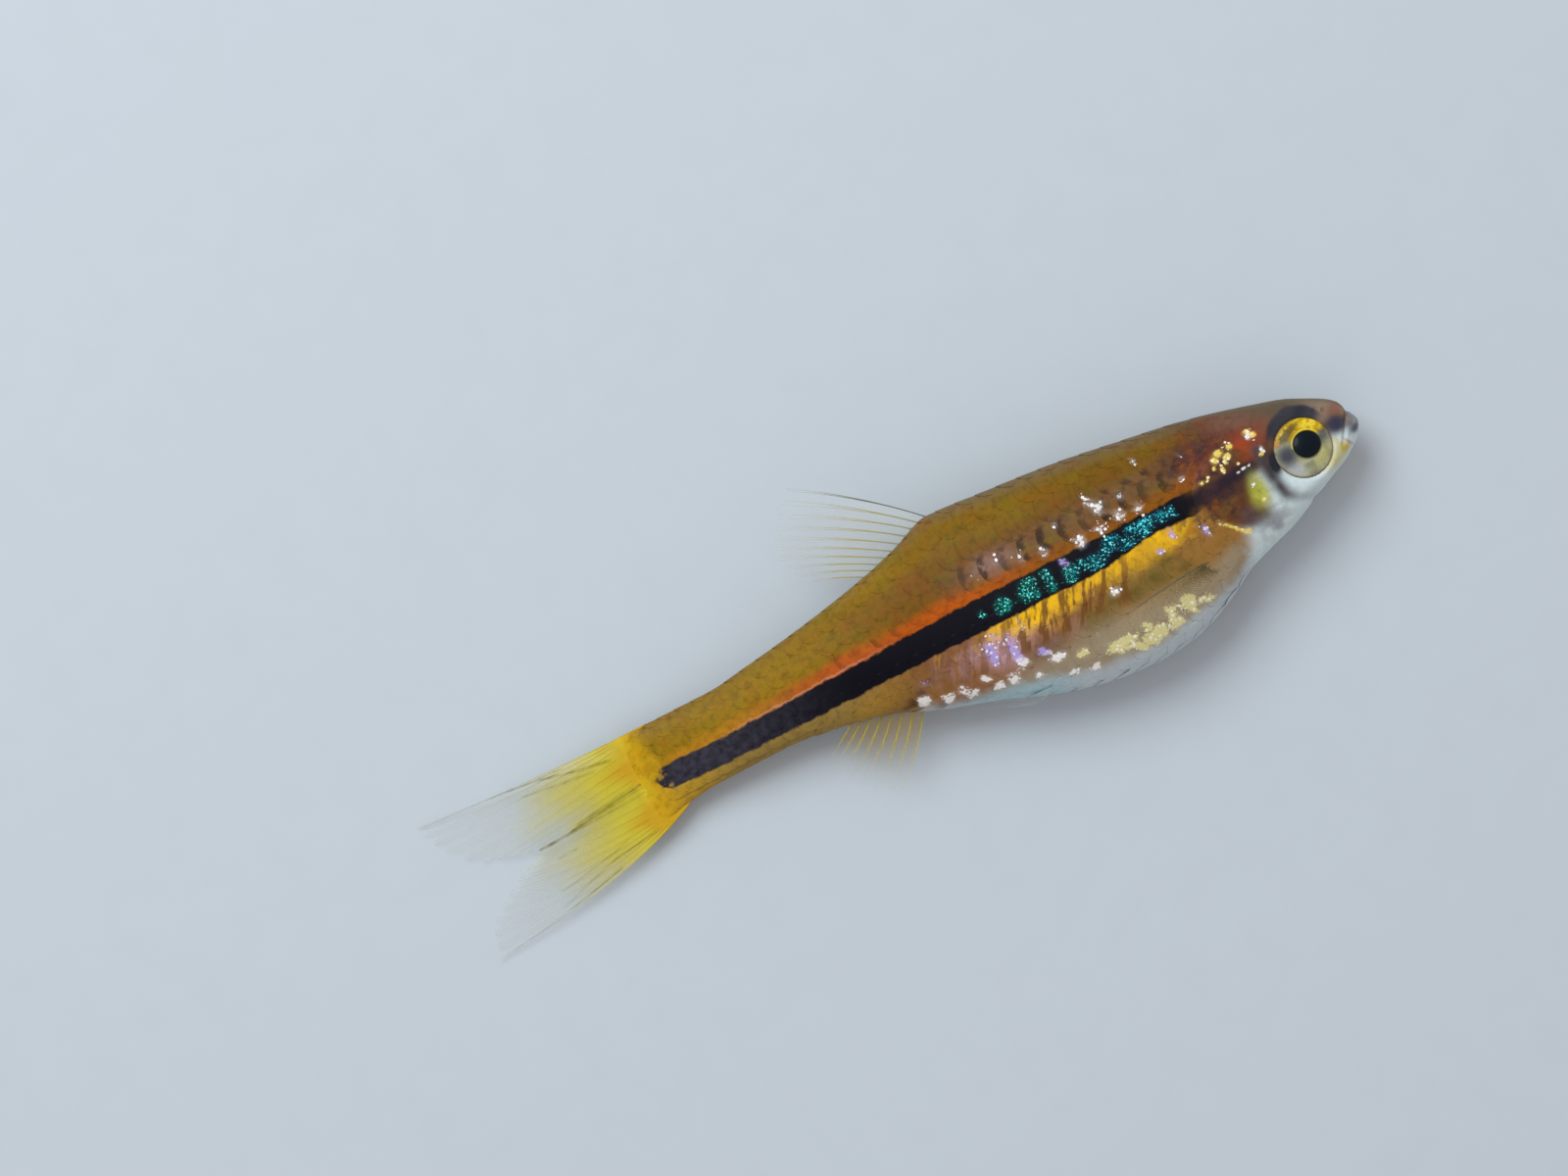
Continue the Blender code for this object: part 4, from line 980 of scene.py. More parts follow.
def marks(s, y, look):
    """What skin and scales show at places of the side view, as named values for mesh_object."""
    tint = head_tint(s, y, look, body_tint(s, y, look))
    amount, flash = flash_values(s, y, look)
    return [("tint", "FLOAT_COLOR", rgba(tint)), ("flash", "FLOAT", amount),
            ("flash_tint", "FLOAT_COLOR", rgba(flash)),
            ("glitter", "FLOAT", flashes(s, y, GLITTER))]


class FishPaint(Paint):
    """A material that knows the side view: s and y in millimetres, from Object coordinates."""

    def __init__(self, name):
        super().__init__(name)
        x, y, _ = self.parts(self.node("ShaderNodeTexCoord").outputs["Object"])
        self.s, self.y = TOTAL_LENGTH / 2 - x * (1 / MM), y * (1 / MM) + MIDDLE_Y

    def value(self, name):
        return Number(self, self.attribute(name, "Fac"))


def scale_lines(paint, tint, look):
    """Dark bars at the rear edges of the scales over the orange line, and a faint net over the rest of the
    back at the scales' rear rims, partly pigment and partly painted shade."""
    a, chance = paint.value("along"), paint.value("chance")
    middle = 1 - paint.value("across").math("ABSOLUTE").fade(0.35, 0.8)
    s, y = paint.s, paint.y
    pocket = y.band(2.05, 3.95, 0.5) * s.band(12.5, 30, 3)
    worn = paint.noise(0.5, 2.0)
    rear = (a + (worn - 0.5) * 0.5).fade(0.35, 0.78) * middle
    bar = rear * pocket * (chance * 0.5 + 0.5) * worn.fade(0.28, 0.48)
    tint = paint.over(bar, tint, look.bar)
    over_stripe = y - s.curve(STRIPE_TOP)
    picket = a.fade(0.5, 0.85) * middle * over_stripe.band(0.1, 1.0, 0.3) * (chance * 0.4 + 0.1)
    picket = picket * (1 - s.fade(36, 44))
    tint = paint.over(picket, tint, look.bar)
    # The net darkens the rear rims of the scales: partly their own fine pigment, partly painted shade.
    net = a.fade(0.74, 0.95) * (1 - pocket) * over_stripe.fade(0.2, 1.2) * (chance * 0.1)
    return paint.over(net, tint, look.bar)


def stripe_layers(paint, tint, look, scaled):
    """The blue-black stripe with its ragged edges and, on the scales, the turquoise glitter inside it, with
    painted glints at its brightest specks.
    """
    s, y = paint.s, paint.y
    wobble = (paint.noise(0.9, 1.0) - 0.5) * 0.36 + (paint.noise(0.28, 2.0) - 0.5) * 0.2
    over, under = s.curve(STRIPE_TOP) - y, y - s.curve(STRIPE_BOTTOM)
    ragged = paint.noise(0.45, 2.0)
    stripe = (over + wobble).fade(-0.08, 0.1) * (under + wobble).fade(-0.08, 0.1) * s.fade(11.2, 13.6)
    stripe = stripe * (1 - (s + (ragged - 0.5) * 3.2).fade(52.9, 54.0))
    pale = s.fade(38, 50) * (ragged * 1.9 - 0.2)
    seam = (over + wobble).band(-0.16, -0.02, 0.12) * s.band(36.5, 47, 5) * 0.3
    tint = paint.over(seam, tint, look.seam)
    tint = paint.mix(stripe, tint, paint.mix(pale, full(ink(look.stripe)), full(ink(look.stripe_rear))))
    if not scaled:
        return tint, 0
    glitter = paint.value("glitter")
    teal = stripe * glitter * over.fade(0.05, 0.3) * under.fade(0.02, 0.25)
    rear = s.fade(18, 25)
    deep = paint.mix(rear, full(ink(look.teal_deep)), full(ink(look.teal_deep_rear)))
    lively = paint.mix(rear, full(ink(look.teal)), full(ink(look.teal_rear)))
    # The pale teal sparks are painted glints over the turquoise glitter.
    specks = paint.noise(0.17, 2.0, 0.65)
    bright = (specks + teal * 0.2).fade(0.64, 0.8) * teal.fade(0.2, 0.55)
    spark = (paint.noise(0.14, 1.0) + specks * 0.6 + teal * 0.12).fade(0.98, 1.08) * teal.fade(0.25, 0.6)
    tint = paint.mix(teal.fade(0.1, 0.8) * 0.8, tint, deep)
    tint = paint.mix(bright * 0.75, tint, lively)
    return paint.mix(spark, tint, full(ink(look.teal_pale))), bright


def skin_paint(look, name, bump, scaled):
    """Wet skin: soft markings mottled by pigment cells, the stripe, and painted highlights at the mirror
    flecks in a haze of their colour."""
    paint = FishPaint(name)
    s, y = paint.s, paint.y
    mottle, pores = paint.noise(0.5, 3.0, 0.65), paint.noise(0.08, 2.0, 0.6)
    cloud = paint.noise(1.3, 4.0, 0.6)
    upper = (y - s.curve(STRIPE_TOP)).fade(0.0, 1.2) * s.fade(6.5, 10)
    tint = paint.mix(cloud.fade(0.52, 0.68) * upper * 0.4, paint.attribute("tint"), full(ink(look.moss)))
    tint = paint.over((1 - cloud.fade(0.34, 0.48)) * upper * 0.3, tint, look.rust)
    soiled = 0.1 + y.fade(-4.5, -1.5) * s.fade(5, 9) * 0.2
    tint = paint.mix(mottle.fade(0.4, 0.75) * soiled, tint, full(ink(look.ridge) * 0.3), "MULTIPLY")
    tint = paint.over(pores.fade(0.5, 0.75) * 0.14, tint, look.bar)
    blush = (s + y * 0.3).band(9.6, 14.3, 1.4) * y.band(-1.8, 3.9, 1.2)
    bruise = paint.noise(0.75, 3.0, 0.65)
    tint = paint.over(bruise.fade(0.5, 0.62) * blush * 0.6, tint, look.purple)
    warm = (1 - bruise.fade(0.36, 0.46)) * blush * (1 - y.band(0.0, 1.3, 0.5))
    tint = paint.over(warm * 0.4, tint, look.orange_front)
    slanted = paint.node("ShaderNodeCombineXYZ", (), [(s + y * 0.45) * MM, y * (0.22 * MM)]).outputs[0]
    slant = ((s + y * 0.45) * (2 * math.pi / 1.5)).math("SINE") * 0.09
    strand = paint.noise(0.42, 2.0, 0.6, slanted) + slant + (bruise - 0.5) * 0.4
    below = s.curve(STRIPE_BOTTOM) - y
    zone = below.band(-0.15, 2.7, 0.8) * s.band(18.5, 33, 3) * (1 - s.fade(27, 29) * 0.4)
    tint = paint.over(strand.fade(0.45, 0.6) * zone * 0.85, tint, look.flank_dusk)
    pale = (1 - strand.fade(0.3, 0.42)) * zone * below.band(-0.2, 1.2, 0.5)
    tint = paint.over(pale * 0.5, tint, look.gold)
    if scaled:
        tint = scale_lines(paint, tint, look)
    tint, bright = stripe_layers(paint, tint, look, scaled)
    # Painted highlights: a haze of the highlight colour, dark rims and hollow cores round bright specks,
    # mirror patches and white specks.
    flash, flash_tint = paint.value("flash"), paint.attribute("flash_tint")
    facets = paint.noise(0.3, 3.0, 0.7)
    near, chance = paint.cells(0.3) + (pores - 0.5) * 0.5, paint.cells(0.3, output="Color")
    low = 1 - y.fade(-3.4, -2.2)
    lit = (chance + flash * 0.95 - 1 - low * 0.25).fade(0.0, 0.06)
    speck = (1 - near.fade(0.3, 0.44)) * lit
    hollow = (1 - near.fade(0.08, 0.2)) * lit * (chance * 7).math("FRACT").fade(0.4, 0.6)
    rim = (near.band(0.44, 0.62, 0.1) * lit).math("MINIMUM", 1) * 0.45
    mirror = (flash * 0.7 + facets * 1.3 + low * 0.14).fade(1.1, 1.2) * flash.fade(0.1, 0.3)
    tint = paint.mix(flash.fade(0.1, 0.9) * 0.25, tint, flash_tint)
    tint = paint.over(rim, tint, look.bar)
    tint = paint.mix(mirror * 0.75, tint, flash_tint)
    white = paint.mix(0.65, flash_tint, full(ink(look.flash_white)))
    tint = paint.mix(speck * (1 - hollow * 0.6), tint, white)
    mirror = (mirror + speck).math("MINIMUM", 1)
    sheen = mirror + bright
    normal = paint.bump(pores * 0.5 + mottle * 0.5 + sheen * 0.35, bump, 0.03)
    return paint.finish(Base_Color=tint, Roughness=0.45 - sheen * 0.12, Specular_IOR_Level=0.1, Normal=normal)


# The places at which the skin closes, before the lower jaw and behind the tail stalk.
SKIN_ENDS = np.array([[0.0, 0.35, 0.0], [55.05, 0.6, 0.0]])


class RASBORA_OT_skin(bpy.types.Operator):
    """Makes the one skin of head, gill covers, trunk and tail"""

    bl_idname = "rasbora.skin"
    bl_label = "Skin"

    def execute(self, context):
        """Rings, closest at the jaw's tip and closer on the head than behind it. Fans close the ends."""
        stations = np.concatenate([np.geomspace(0.02, 0.6, 16), np.arange(0.645, 13.2, 0.045),
                                   np.arange(13.25, 55.0, 0.21)])
        columns = 200
        share = np.arange(columns) / columns
        start, end = arc_of(stations, -np.pi / 2), arc_of(stations, 1.5 * np.pi)
        wanted = start[:, None] + share * (end - start)[:, None]
        angle = arc_angle(stations[:, None] + 0 * wanted, wanted)
        place = skin(stations[:, None] + 0 * angle, angle)
        place = np.concatenate([place.reshape(-1, 3), SKIN_ENDS])
        points, faces = world(place), capped_rings(len(stations), columns)
        look = context.scene.rasbora_markings
        s, y = place[:, 0], place[:, 1]
        made = mesh_object("skin", points, faces, skin_paint(look, "wet_skin", 0.35, False),
                           marks(s, y, look))
        face_out(made)
        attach(made, "root")
        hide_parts("head", "lower_jaw", "gill_cover_right", "gill_cover_left", "trunk", "tail")
        return {"FINISHED"}


# The scales: rows between the stripe and the middle of the back, the lowest row of a flank, the number of
# the middle belly row and where it ends, where all rows begin and end, and the size of a scale's patch on
# the map.
ROWS_ABOVE = 4
LOWEST_ROW = -7
BELLY_ROW = -9
BELLY_ROW_END = 35.4
SCALE_FIRST, SCALE_LAST = 8, 53.2
PATCH = 0.003


def along_count():
    """The running number of a scale at each s, from the spacing along a row."""
    s = np.linspace(SCALE_FIRST, ARC_END, 961)
    return s, np.concatenate([[0], np.cumsum(np.diff(s) / scale_pitch(s[1:]))])


def row_spacing(s):
    return above_row(s, 0.0 * np.asarray(s)) / ROWS_ABOVE


def scale_places(side):
    """Centres of the scales of one side: (s, distance above the row over the stripe, row). Rows are spaced
    evenly up to the back, and each is shifted half a scale against its neighbours. The right side has both
    middle rows too."""
    s, number = along_count()
    below, pitch = -above_row(s, np.pi + 0.0 * s), row_spacing(s)
    whole = np.arange(0, int(number[-1]))
    places = []
    for row in range(LOWEST_ROW, ROWS_ABOVE + (side > 0)):
        at = np.interp(whole + 0.5 * (row % 2), number, s)
        distance = row * np.interp(at, s, pitch)
        fits = -distance < np.interp(at, s, below) - 0.42 * np.interp(at, s, pitch)
        places.append(np.stack([at[fits], distance[fits], np.full(fits.sum(), row)], axis=-1))
    if side > 0:
        at = np.interp(whole + 0.25, number, s)
        at = at[at < BELLY_ROW_END]
        places.append(np.stack([at, -np.interp(at, s, below), np.full(len(at), BELLY_ROW)], axis=-1))
    places = np.concatenate(places)
    y = bare(places[:, 0], angle_above_row(places[:, 0], places[:, 1]))[:, 1]
    kept = (places[:, 0] > scale_start(y)) & (places[:, 0] < SCALE_LAST)
    return places[kept]


def scale_coat(side, sizes, look):
    """All scales of one side as one mesh. In a scale's own square from -1 to 1, a runs to the rear and b to
    the back. Its half width is a share of the row spacing, its rear edge a half ellipse, and it rises evenly
    from front to rear. The top is a grid, and its rim is carried inwards by the thickness and closed by one
    face."""
    centres = scale_places(side)
    chance = np.random.default_rng(5 if side > 0 else 6).random((4, len(centres), 1, 1))
    a, b = np.meshgrid([-1, -0.3, 0.0, 0.25, 0.5, 0.75, 0.98, 1.0], np.linspace(-1, 1, 7), indexing="ij")
    s0, d0, row = (column[:, None, None] for column in centres.T)
    a, b = a + 0 * s0, b + 0 * s0
    pitch, height = scale_pitch(s0), row_spacing(s0)
    round_b = np.sin(b * np.pi / 2)
    rear = 0.06 + (sizes.overlap - 0.06) * np.sqrt(np.maximum(1 - round_b**2, 0)) + 0.06 * (chance[0] - 0.5)
    s = s0 + pitch * (-0.75 + (rear + 0.75) * (a + 1) / 2)
    distance = d0 + height * sizes.breadth * round_b
    angle = side * angle_above_row(s, distance)
    base, out = bare(s, angle), outward(s, angle)
    lift = sizes.lift * fade(s0, 8, 14) * (0.85 + 0.3 * chance[1])
    rise = -sizes.sunk + (lift + sizes.sunk) * (a + 1) / 2 - 0.026 * b**2
    rise = rise + np.where(row == BELLY_ROW, 0.02, 0)
    thickness = sizes.thickness * (1 - 0.7 * fade(a, 0.4, 1.0))
    top, low = base + out * rise[..., None], base + out * (rise - thickness)[..., None]
    values = [*marks(top[..., 0], top[..., 1], look), ("along", "FLOAT", a), ("across", "FLOAT", b),
              ("chance", "FLOAT", chance[2] + 0 * a)]
    return plates_mesh(top, low, values, scale_map(centres, a, b))


def scale_map(centres, a, b):
    """The map OFBake: each scale is a small square at its root's place on the unrolled skin, with u along the
    body and v round it."""
    u = 0.02 + 0.96 * (centres[:, 0] - SCALE_FIRST) / (ARC_END - SCALE_FIRST)
    v = 0.5 + centres[:, 1] / 30
    return np.stack([u[:, None, None] + a * PATCH / 2, v[:, None, None] + b * PATCH / 2], axis=-1)


def plates_mesh(top, low, values, uv):
    """Points, faces, named values and map of many plates: grids of points closed by their rims and one face
    each."""
    many, rows, columns = top.shape[:3]
    size = rows * columns
    rim = grid_rim(rows, columns)
    around = np.arange(len(rim))
    after = np.roll(around, -1)
    side = np.stack([rim, size + around, size + after, rim[after]], axis=-1)
    step = (size + len(rim)) * np.arange(many)[:, None, None]
    quads = (np.concatenate([grid_faces(rows, columns), side])[None] + step).reshape(-1, 4)
    floors = (size + around[::-1])[None] + step[:, 0]

    def with_rim(grid, rim_grid):
        flat, other = grid.reshape(many, size, -1), rim_grid.reshape(many, size, -1)
        return np.concatenate([flat, other[:, rim]], axis=1)

    doubled = [(label, kind, with_rim(value, value)) for label, kind, value in values]
    return world(with_rim(top, low)), [*quads.tolist(), *floors.tolist()], doubled, with_rim(uv, uv)


class RASBORA_OT_scales(bpy.types.Operator):
    """Makes the scales of each side as thin overlapping plates in rows"""

    bl_idname = "rasbora.scales"
    bl_label = "Scales"

    def execute(self, context):
        look, sizes = context.scene.rasbora_markings, context.scene.rasbora_scales
        material = skin_paint(look, "scales", 0.25, True)
        for name, side in (("scales_right", 1), ("scales_left", -1)):
            points, faces, values, uv = scale_coat(side, sizes, look)
            made = mesh_object(name, points, faces, material, values, uv)
            face_out(made)
            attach(made, "root")
        return {"FINISHED"}


# The middle of the pupil in the side view, and the rings and columns of an eye's mesh.
PUPIL = (4.0, 0.44)
FRONT_RINGS, BACK_RINGS, EYE_COLUMNS = 52, 14, 144


def eye_tint(s, y, eye):
    """The iris in the side view: gold over the pupil, silver under it, grey where the stripe crosses, a thin
    rim."""
    p, q = s - EYE_S, y - EYE_Y
    rho, around = np.hypot(p, q) / eye.radius, np.degrees(np.arctan2(q, p))
    from_pupil = np.hypot((s - PUPIL[0]) / 1.02, (y - PUPIL[1]) / 0.98)
    spot = np.stack([s, y, np.zeros_like(s)], axis=-1)
    patchy, fine = grain(spot, 0.42, 33), grain(spot, 0.16, 34)
    # The pale lower iris, silver with pearl and yellow patches, is partly painted light, standing in for
    # light through the clear cornea.
    coat = Coat(s, y, eye, blend(ink(eye.silver), ink(eye.grey), fade(patchy, 0.55, 0.9) * 0.4))
    coat.dab("pearl", (5.4, -0.75), (0.7, 0.4), 50, 0.7)
    coat.dab("yellow", (3.4, -0.7), (0.7, 0.4), -30, 0.6)
    coat.dab("grey", (5.55, 0.35), (0.72, 0.75))
    coat.dab("grey", (2.72, 0.55), (0.4, 0.5), amount=0.8)
    upper = fade(q - 0.12 * p, 0.5, 0.95)
    coat.lay("bronze", upper)
    outer = np.exp(-(((rho - 0.93 + 0.04 * fine) / 0.06) ** 2)) * band(around, 25, 110, 16)
    inner = np.exp(-(((from_pupil - 1.12 - 0.1 * fine) / 0.1) ** 2)) * band(around, 20, 120, 20)
    coat.lay("gold", upper * np.clip(outer + inner, 0, 1) * 0.8)
    bright = blob(s, y, (3.05, 1.75), (0.95, 0.72), -35) * fade(q, 0.35, 0.75)
    coat.lay("gold", np.clip(bright * 1.6, 0, 1))
    coat.lay("gold_pale", bright * fade(fine + 0.5 * patchy, 0.5, 0.9) * 0.8)
    coat.lay("gold_pale", outer * fade(fine, 0.4, 0.8) * 0.8)
    coat.dab("rust", (6.0, 1.4), (0.3, 0.14), 30, 0.9)
    ring = np.exp(-(((from_pupil - eye.pupil_radius - 0.06) / 0.05) ** 2))
    coat.lay("gold_pale", ring * band(around, 20, 160, 20) * 0.7)
    coat.lay("bronze", ring * (1 - band(around, 20, 160, 20)) * 0.45)
    lower_edge = fade(rho, 0.925, 0.95) * (band(around, -185, -12, 20) + fade(around, 165, 178))
    coat.lay("rim", lower_edge * 0.75)
    coat.lay("pupil", 1 - fade(from_pupil, eye.pupil_radius - 0.04, eye.pupil_radius + 0.04))
    return coat.tint


def eye_shape(side, eye):
    """The eye as a closed lens: rho and phi are polar on the eye's own tilted plane. The front is a dome that
    steepens to its rim, with the lens of the pupil standing out of it, and the back is a shallow bowl."""
    front_rho, back_rho = np.linspace(0.015, 1.0, FRONT_RINGS), np.linspace(0.97, 0.02, BACK_RINGS)
    rho = np.concatenate([front_rho, back_rho])[:, None]
    phi = np.linspace(0, 2 * np.pi, EYE_COLUMNS, endpoint=False)[None]
    front = np.arange(FRONT_RINGS + BACK_RINGS)[:, None] < FRONT_RINGS
    s = EYE_S + eye.radius * rho * np.cos(phi) * math.cos(math.radians(EYE_TILT))
    y = EYE_Y + eye.radius * rho * np.sin(phi)
    from_pupil = np.hypot(s - PUPIL[0], y - PUPIL[1]) / eye.pupil_radius
    dome = eye.dome * (1 - rho**2) ** 0.95
    groove = 0.04 * np.exp(-(((from_pupil - 1.08) / 0.08) ** 2))
    lens = eye.lens * (1 - np.clip(from_pupil, 0, 1) ** 2) ** 0.55 - groove
    level = eye_level(s) - 0.02 + np.where(front, dome + lens, -0.5 * np.sqrt(np.maximum(1 - rho**2, 0)))
    return np.stack([s, y, side * level], axis=-1)


def eye_paint():
    """A wet eye: the painted iris with fine mottling under a clear coat."""
    paint = Paint("iris")
    fleck, fine = paint.noise(0.16, 2.0, 0.6), paint.noise(0.05, 2.0, 0.6)
    tint = paint.mix(fleck.fade(0.4, 0.7) * 0.25, paint.attribute("tint"), (0.35, 0.32, 0.25, 1), "MULTIPLY")
    normal = paint.bump(fleck + fine * 0.4, 0.3, 0.02)
    return paint.finish(Base_Color=tint, Roughness=0.4, Specular_IOR_Level=0.12, Coat_Weight=0.1,
                        Coat_Roughness=0.1, Normal=normal)


class RASBORA_OT_eyes(bpy.types.Operator):
    """Makes the two eyes, each with its iris and lens"""

    bl_idname = "rasbora.eyes"
    bl_label = "Eyes"

    def execute(self, context):
        eye = context.scene.rasbora_eye
        material = eye_paint()
        for name, node, side in (("iris_right", "eye_right", 1), ("iris_left", "eye_left", -1)):
            place = eye_shape(side, eye)
            rows, columns = place.shape[:2]
            tint = eye_tint(place[..., 0], place[..., 1], eye)
            ends = np.stack([place[0].mean(axis=0), place[-1].mean(axis=0)])
            points = world(np.concatenate([place.reshape(-1, 3), ends]))
            colours = np.concatenate([tint.reshape(-1, 3), [tint[0].mean(axis=0), tint[-1].mean(axis=0)]])
            faces = capped_rings(rows, columns)
            made = mesh_object(name, points, faces, material, [("tint", "FLOAT_COLOR", rgba(colours))])
            face_out(made)
            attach(made, "root")
            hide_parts(node)
        return {"FINISHED"}


# The fins: roots, bends and tips of their rays in the side view, from the leading ray on.
DORSAL_START, DORSAL_END = 29.1, 34.7
DORSAL_TIP = [(36.8, 13.95), (38.3, 12.3), (39.2, 10.9), (39.4, 9.3), (38.0, 7.4)]
DORSAL_BEND = [(32.6, 11.3), (33.9, 10.2), (35.2, 9.1), (36.1, 8.1), (36.2, 6.95)]
DORSAL_RAYS = 10
ANAL_START, ANAL_END = 35.3, 40.0
ANAL_TIP = [(39.0, -8.0), (40.5, -7.3), (41.7, -6.1), (42.3, -4.8), (42.4, -3.7)]
ANAL_BEND = [(36.9, -6.2), (38.2, -5.6), (39.4, -4.8), (40.5, -4.0), (41.3, -3.15)]
ANAL_RAYS = 8
CAUDAL_ROOT = [(52.6, 4.0), (53.0, 3.7), (53.2, 2.3), (53.3, 0.7), (53.2, -0.9), (52.9, -1.9), (52.5, -2.05),
               (51.9, -1.9)]
CAUDAL_BEND = [(60.5, 3.95), (60.4, 3.0), (59.6, 1.5), (58.7, 0.4), (59.2, -1.1), (60.0, -2.9), (59.4, -4.2),
               (57.2, -4.75)]
CAUDAL_TIP = [(TOTAL_LENGTH, 4.85), (69.3, 3.1), (67.4, 0.95), (65.0, 0.05), (63.1, -0.35), (64.6, -1.2),
              (66.7, -2.3), (68.4, -3.8), (69.0, -5.9)]
CAUDAL_RAYS = 19
PECTORAL_ROOT = [(12.7, -3.6), (12.6, -3.95), (12.5, -4.3)]
PECTORAL_BEND = [(17.0, -3.6), (16.5, -4.2), (15.4, -5.0)]
PECTORAL_TIP = [(21.6, -4.5), (21.0, -5.15), (19.6, -5.6), (17.3, -5.9)]
UNDER_PECTORAL_BEND = [(17.0, -4.2), (16.5, -4.9), (15.4, -5.4)]
UNDER_PECTORAL_TIP = [(21.3, -5.6), (20.6, -6.2), (19.2, -6.5), (17.2, -6.5)]
PECTORAL_RAYS = 12
PELVIC_ROOT = [(0.0, 0.0), (0.35, -0.5), (0.9, -0.9)]
PELVIC_BEND = [(3.6, 0.5), (3.3, -0.35), (2.6, -0.95)]
PELVIC_TIP = [(7.2, 0.9), (6.6, -0.1), (5.6, -0.85), (4.1, -1.15)]
PELVIC_RAYS = 6
PELVIC_ROOT_S, PELVIC_ROOT_LATERAL = 26.0, 1.15


def ray_place(t, u, keys):
    """The place at share u of the ray at share t across a fin: a bent line from root to tip, round its
    bend."""
    root, bend, tip = (along(line, t) for line in keys)
    u = u[..., None]
    return (1 - u) ** 2 * root + 2 * u * (1 - u) * bend + u**2 * tip


def flank(s, y):
    """The distance of the bare body from the middle plane at a place of the side view."""
    mid = widest_y(s)
    reach = np.where(y > mid, back(s) - mid, mid - belly(s))
    share = np.clip(np.abs(y - mid) / np.maximum(reach, 1e-6), 0, 1)
    return half_width(s) * (1 - share ** fullness(s)) ** (1 / fullness(s))


def on_middle(droop):
    """Lays a fin on the middle plane, with its outer part sinking toward the floor, but never through it."""
    def lay(place, u, offset):
        s, y = place[..., 0], place[..., 1]
        lateral = np.maximum(middle_z(s) - droop * u**2, 0.12) - middle_z(s) + offset
        return np.stack([s, y, lateral], axis=-1)
    return lay


def on_flank(side, clear):
    """Lays a fin over the flank, from its root in the skin to a little clear of it."""
    def lay(place, u, offset):
        s, y = place[..., 0], place[..., 1]
        out = flank(s, y) - 0.1 + (clear + 0.1) * fade(u, 0, 0.5) + 0.8 * u**2 + offset
        lateral = side * out
        if side < 0:
            lateral = np.maximum(lateral, 0.1 - middle_z(s))
        return np.stack([s, y, lateral], axis=-1)
    return lay


def under_belly(side):
    """Lays a small fin back along the underside of the belly. Its own plan is (s from the root, lateral)."""
    def lay(place, u, offset):
        s = PELVIC_ROOT_S + place[..., 0]
        lateral = side * (PELVIC_ROOT_LATERAL + place[..., 1])
        round_share = np.sqrt(np.maximum(1 - (lateral / half_width(s)) ** 2, 0))
        under = belly(s) + (widest_y(s) - belly(s)) * (1 - round_share)
        y = under + 0.12 - 0.62 * np.minimum(u / 0.4, 1) - 0.1 * u - offset
        return np.stack([s, y, lateral], axis=-1)
    return lay


def fin_membrane(keys, rays, lay, sizes, rows=44, per_ray=6):
    """The skin of a fin as a thin closed sheet. It dips between the rays like a shallow fold, and its edge is
    scalloped."""
    columns = per_ray * (rays - 1) + 1
    t = np.linspace(0, 1, columns)
    fold = np.sin(np.linspace(0, (rays - 1) * np.pi, columns)) ** 2
    u = np.linspace(0, 1, rows)[:, None] * (1 - 0.035 * fold)[None]
    place = ray_place(t, u, keys)
    dip = -sizes.fold * fold * np.sin(np.pi * np.minimum(u * 1.1, 1))
    half = 0.5 * sizes.membrane * (1 - 0.5 * u) + 0.05 * (1 - fade(u, 0.04, 0.24))
    upper, lower = lay(place, u, dip + half), lay(place, u, dip - half)
    return upper, lower, u, t + 0 * u


def fin_strands(keys, rays, lay, sizes, segments=40, sides=6, strands=2, spread=0.6, thick=1.0):
    """The rays as strands that part toward the fin's edge. A strand is a tube: its axis is the bent line of
    its own share t, which leaves the ray's by a smooth step of u, and its radius shrinks evenly from root to
    tip."""
    ray = np.repeat(np.arange(rays), strands)
    strand = np.tile((np.arange(strands) + 0.5) / strands - 0.5, rays)
    u = np.linspace(0, 1, segments)
    step = spread / (rays - 1)
    leave = 0.12 + 0.45 * fade(u, 0.2, 0.55) + 0.43 * fade(u, 0.55, 0.95)
    t = ray[:, None] / (rays - 1) + strand[:, None] * step * leave
    t = np.clip(t, 0, 1)
    end = 1 - 0.03 * np.abs(strand)[:, None]
    u = u[None] * end
    axis = lay(ray_place(t, u, keys), u, 0 * u)
    radius = thick * (sizes.ray + (sizes.ray_tip - sizes.ray) * u ** 0.8)
    along_axis = np.gradient(axis, axis=1)
    along_axis /= np.maximum(np.linalg.norm(along_axis, axis=-1, keepdims=True), 1e-9)
    ahead, behind = (lay(ray_place(np.clip(t + step, 0, 1), u, keys), u, 0 * u) for step in (0.01, -0.01))
    reference = ahead - behind
    across = reference - along_axis * np.sum(reference * along_axis, axis=-1, keepdims=True)
    across /= np.maximum(np.linalg.norm(across, axis=-1, keepdims=True), 1e-9)
    third = np.cross(along_axis, across)
    turn = np.arange(sides) / sides * 2 * np.pi
    ring = np.cos(turn)[:, None] * across[:, :, None] + np.sin(turn)[:, None] * third[:, :, None]
    tubes = axis[:, :, None] + ring * radius[:, :, None, None]
    return tubes, u[..., None] + 0 * turn, t[..., None] + 0 * turn


def tube_faces(many, segments, sides):
    """The quads of many tubes' walls, and the faces that close their ends."""
    step = segments * sides * np.arange(many)[:, None]
    walls = (grid_faces(segments, sides, closed=True)[None] + step[..., None]).reshape(-1, 4)
    ring = np.arange(sides)
    return walls, np.concatenate([ring[::-1] + step, (segments - 1) * sides + ring + step])


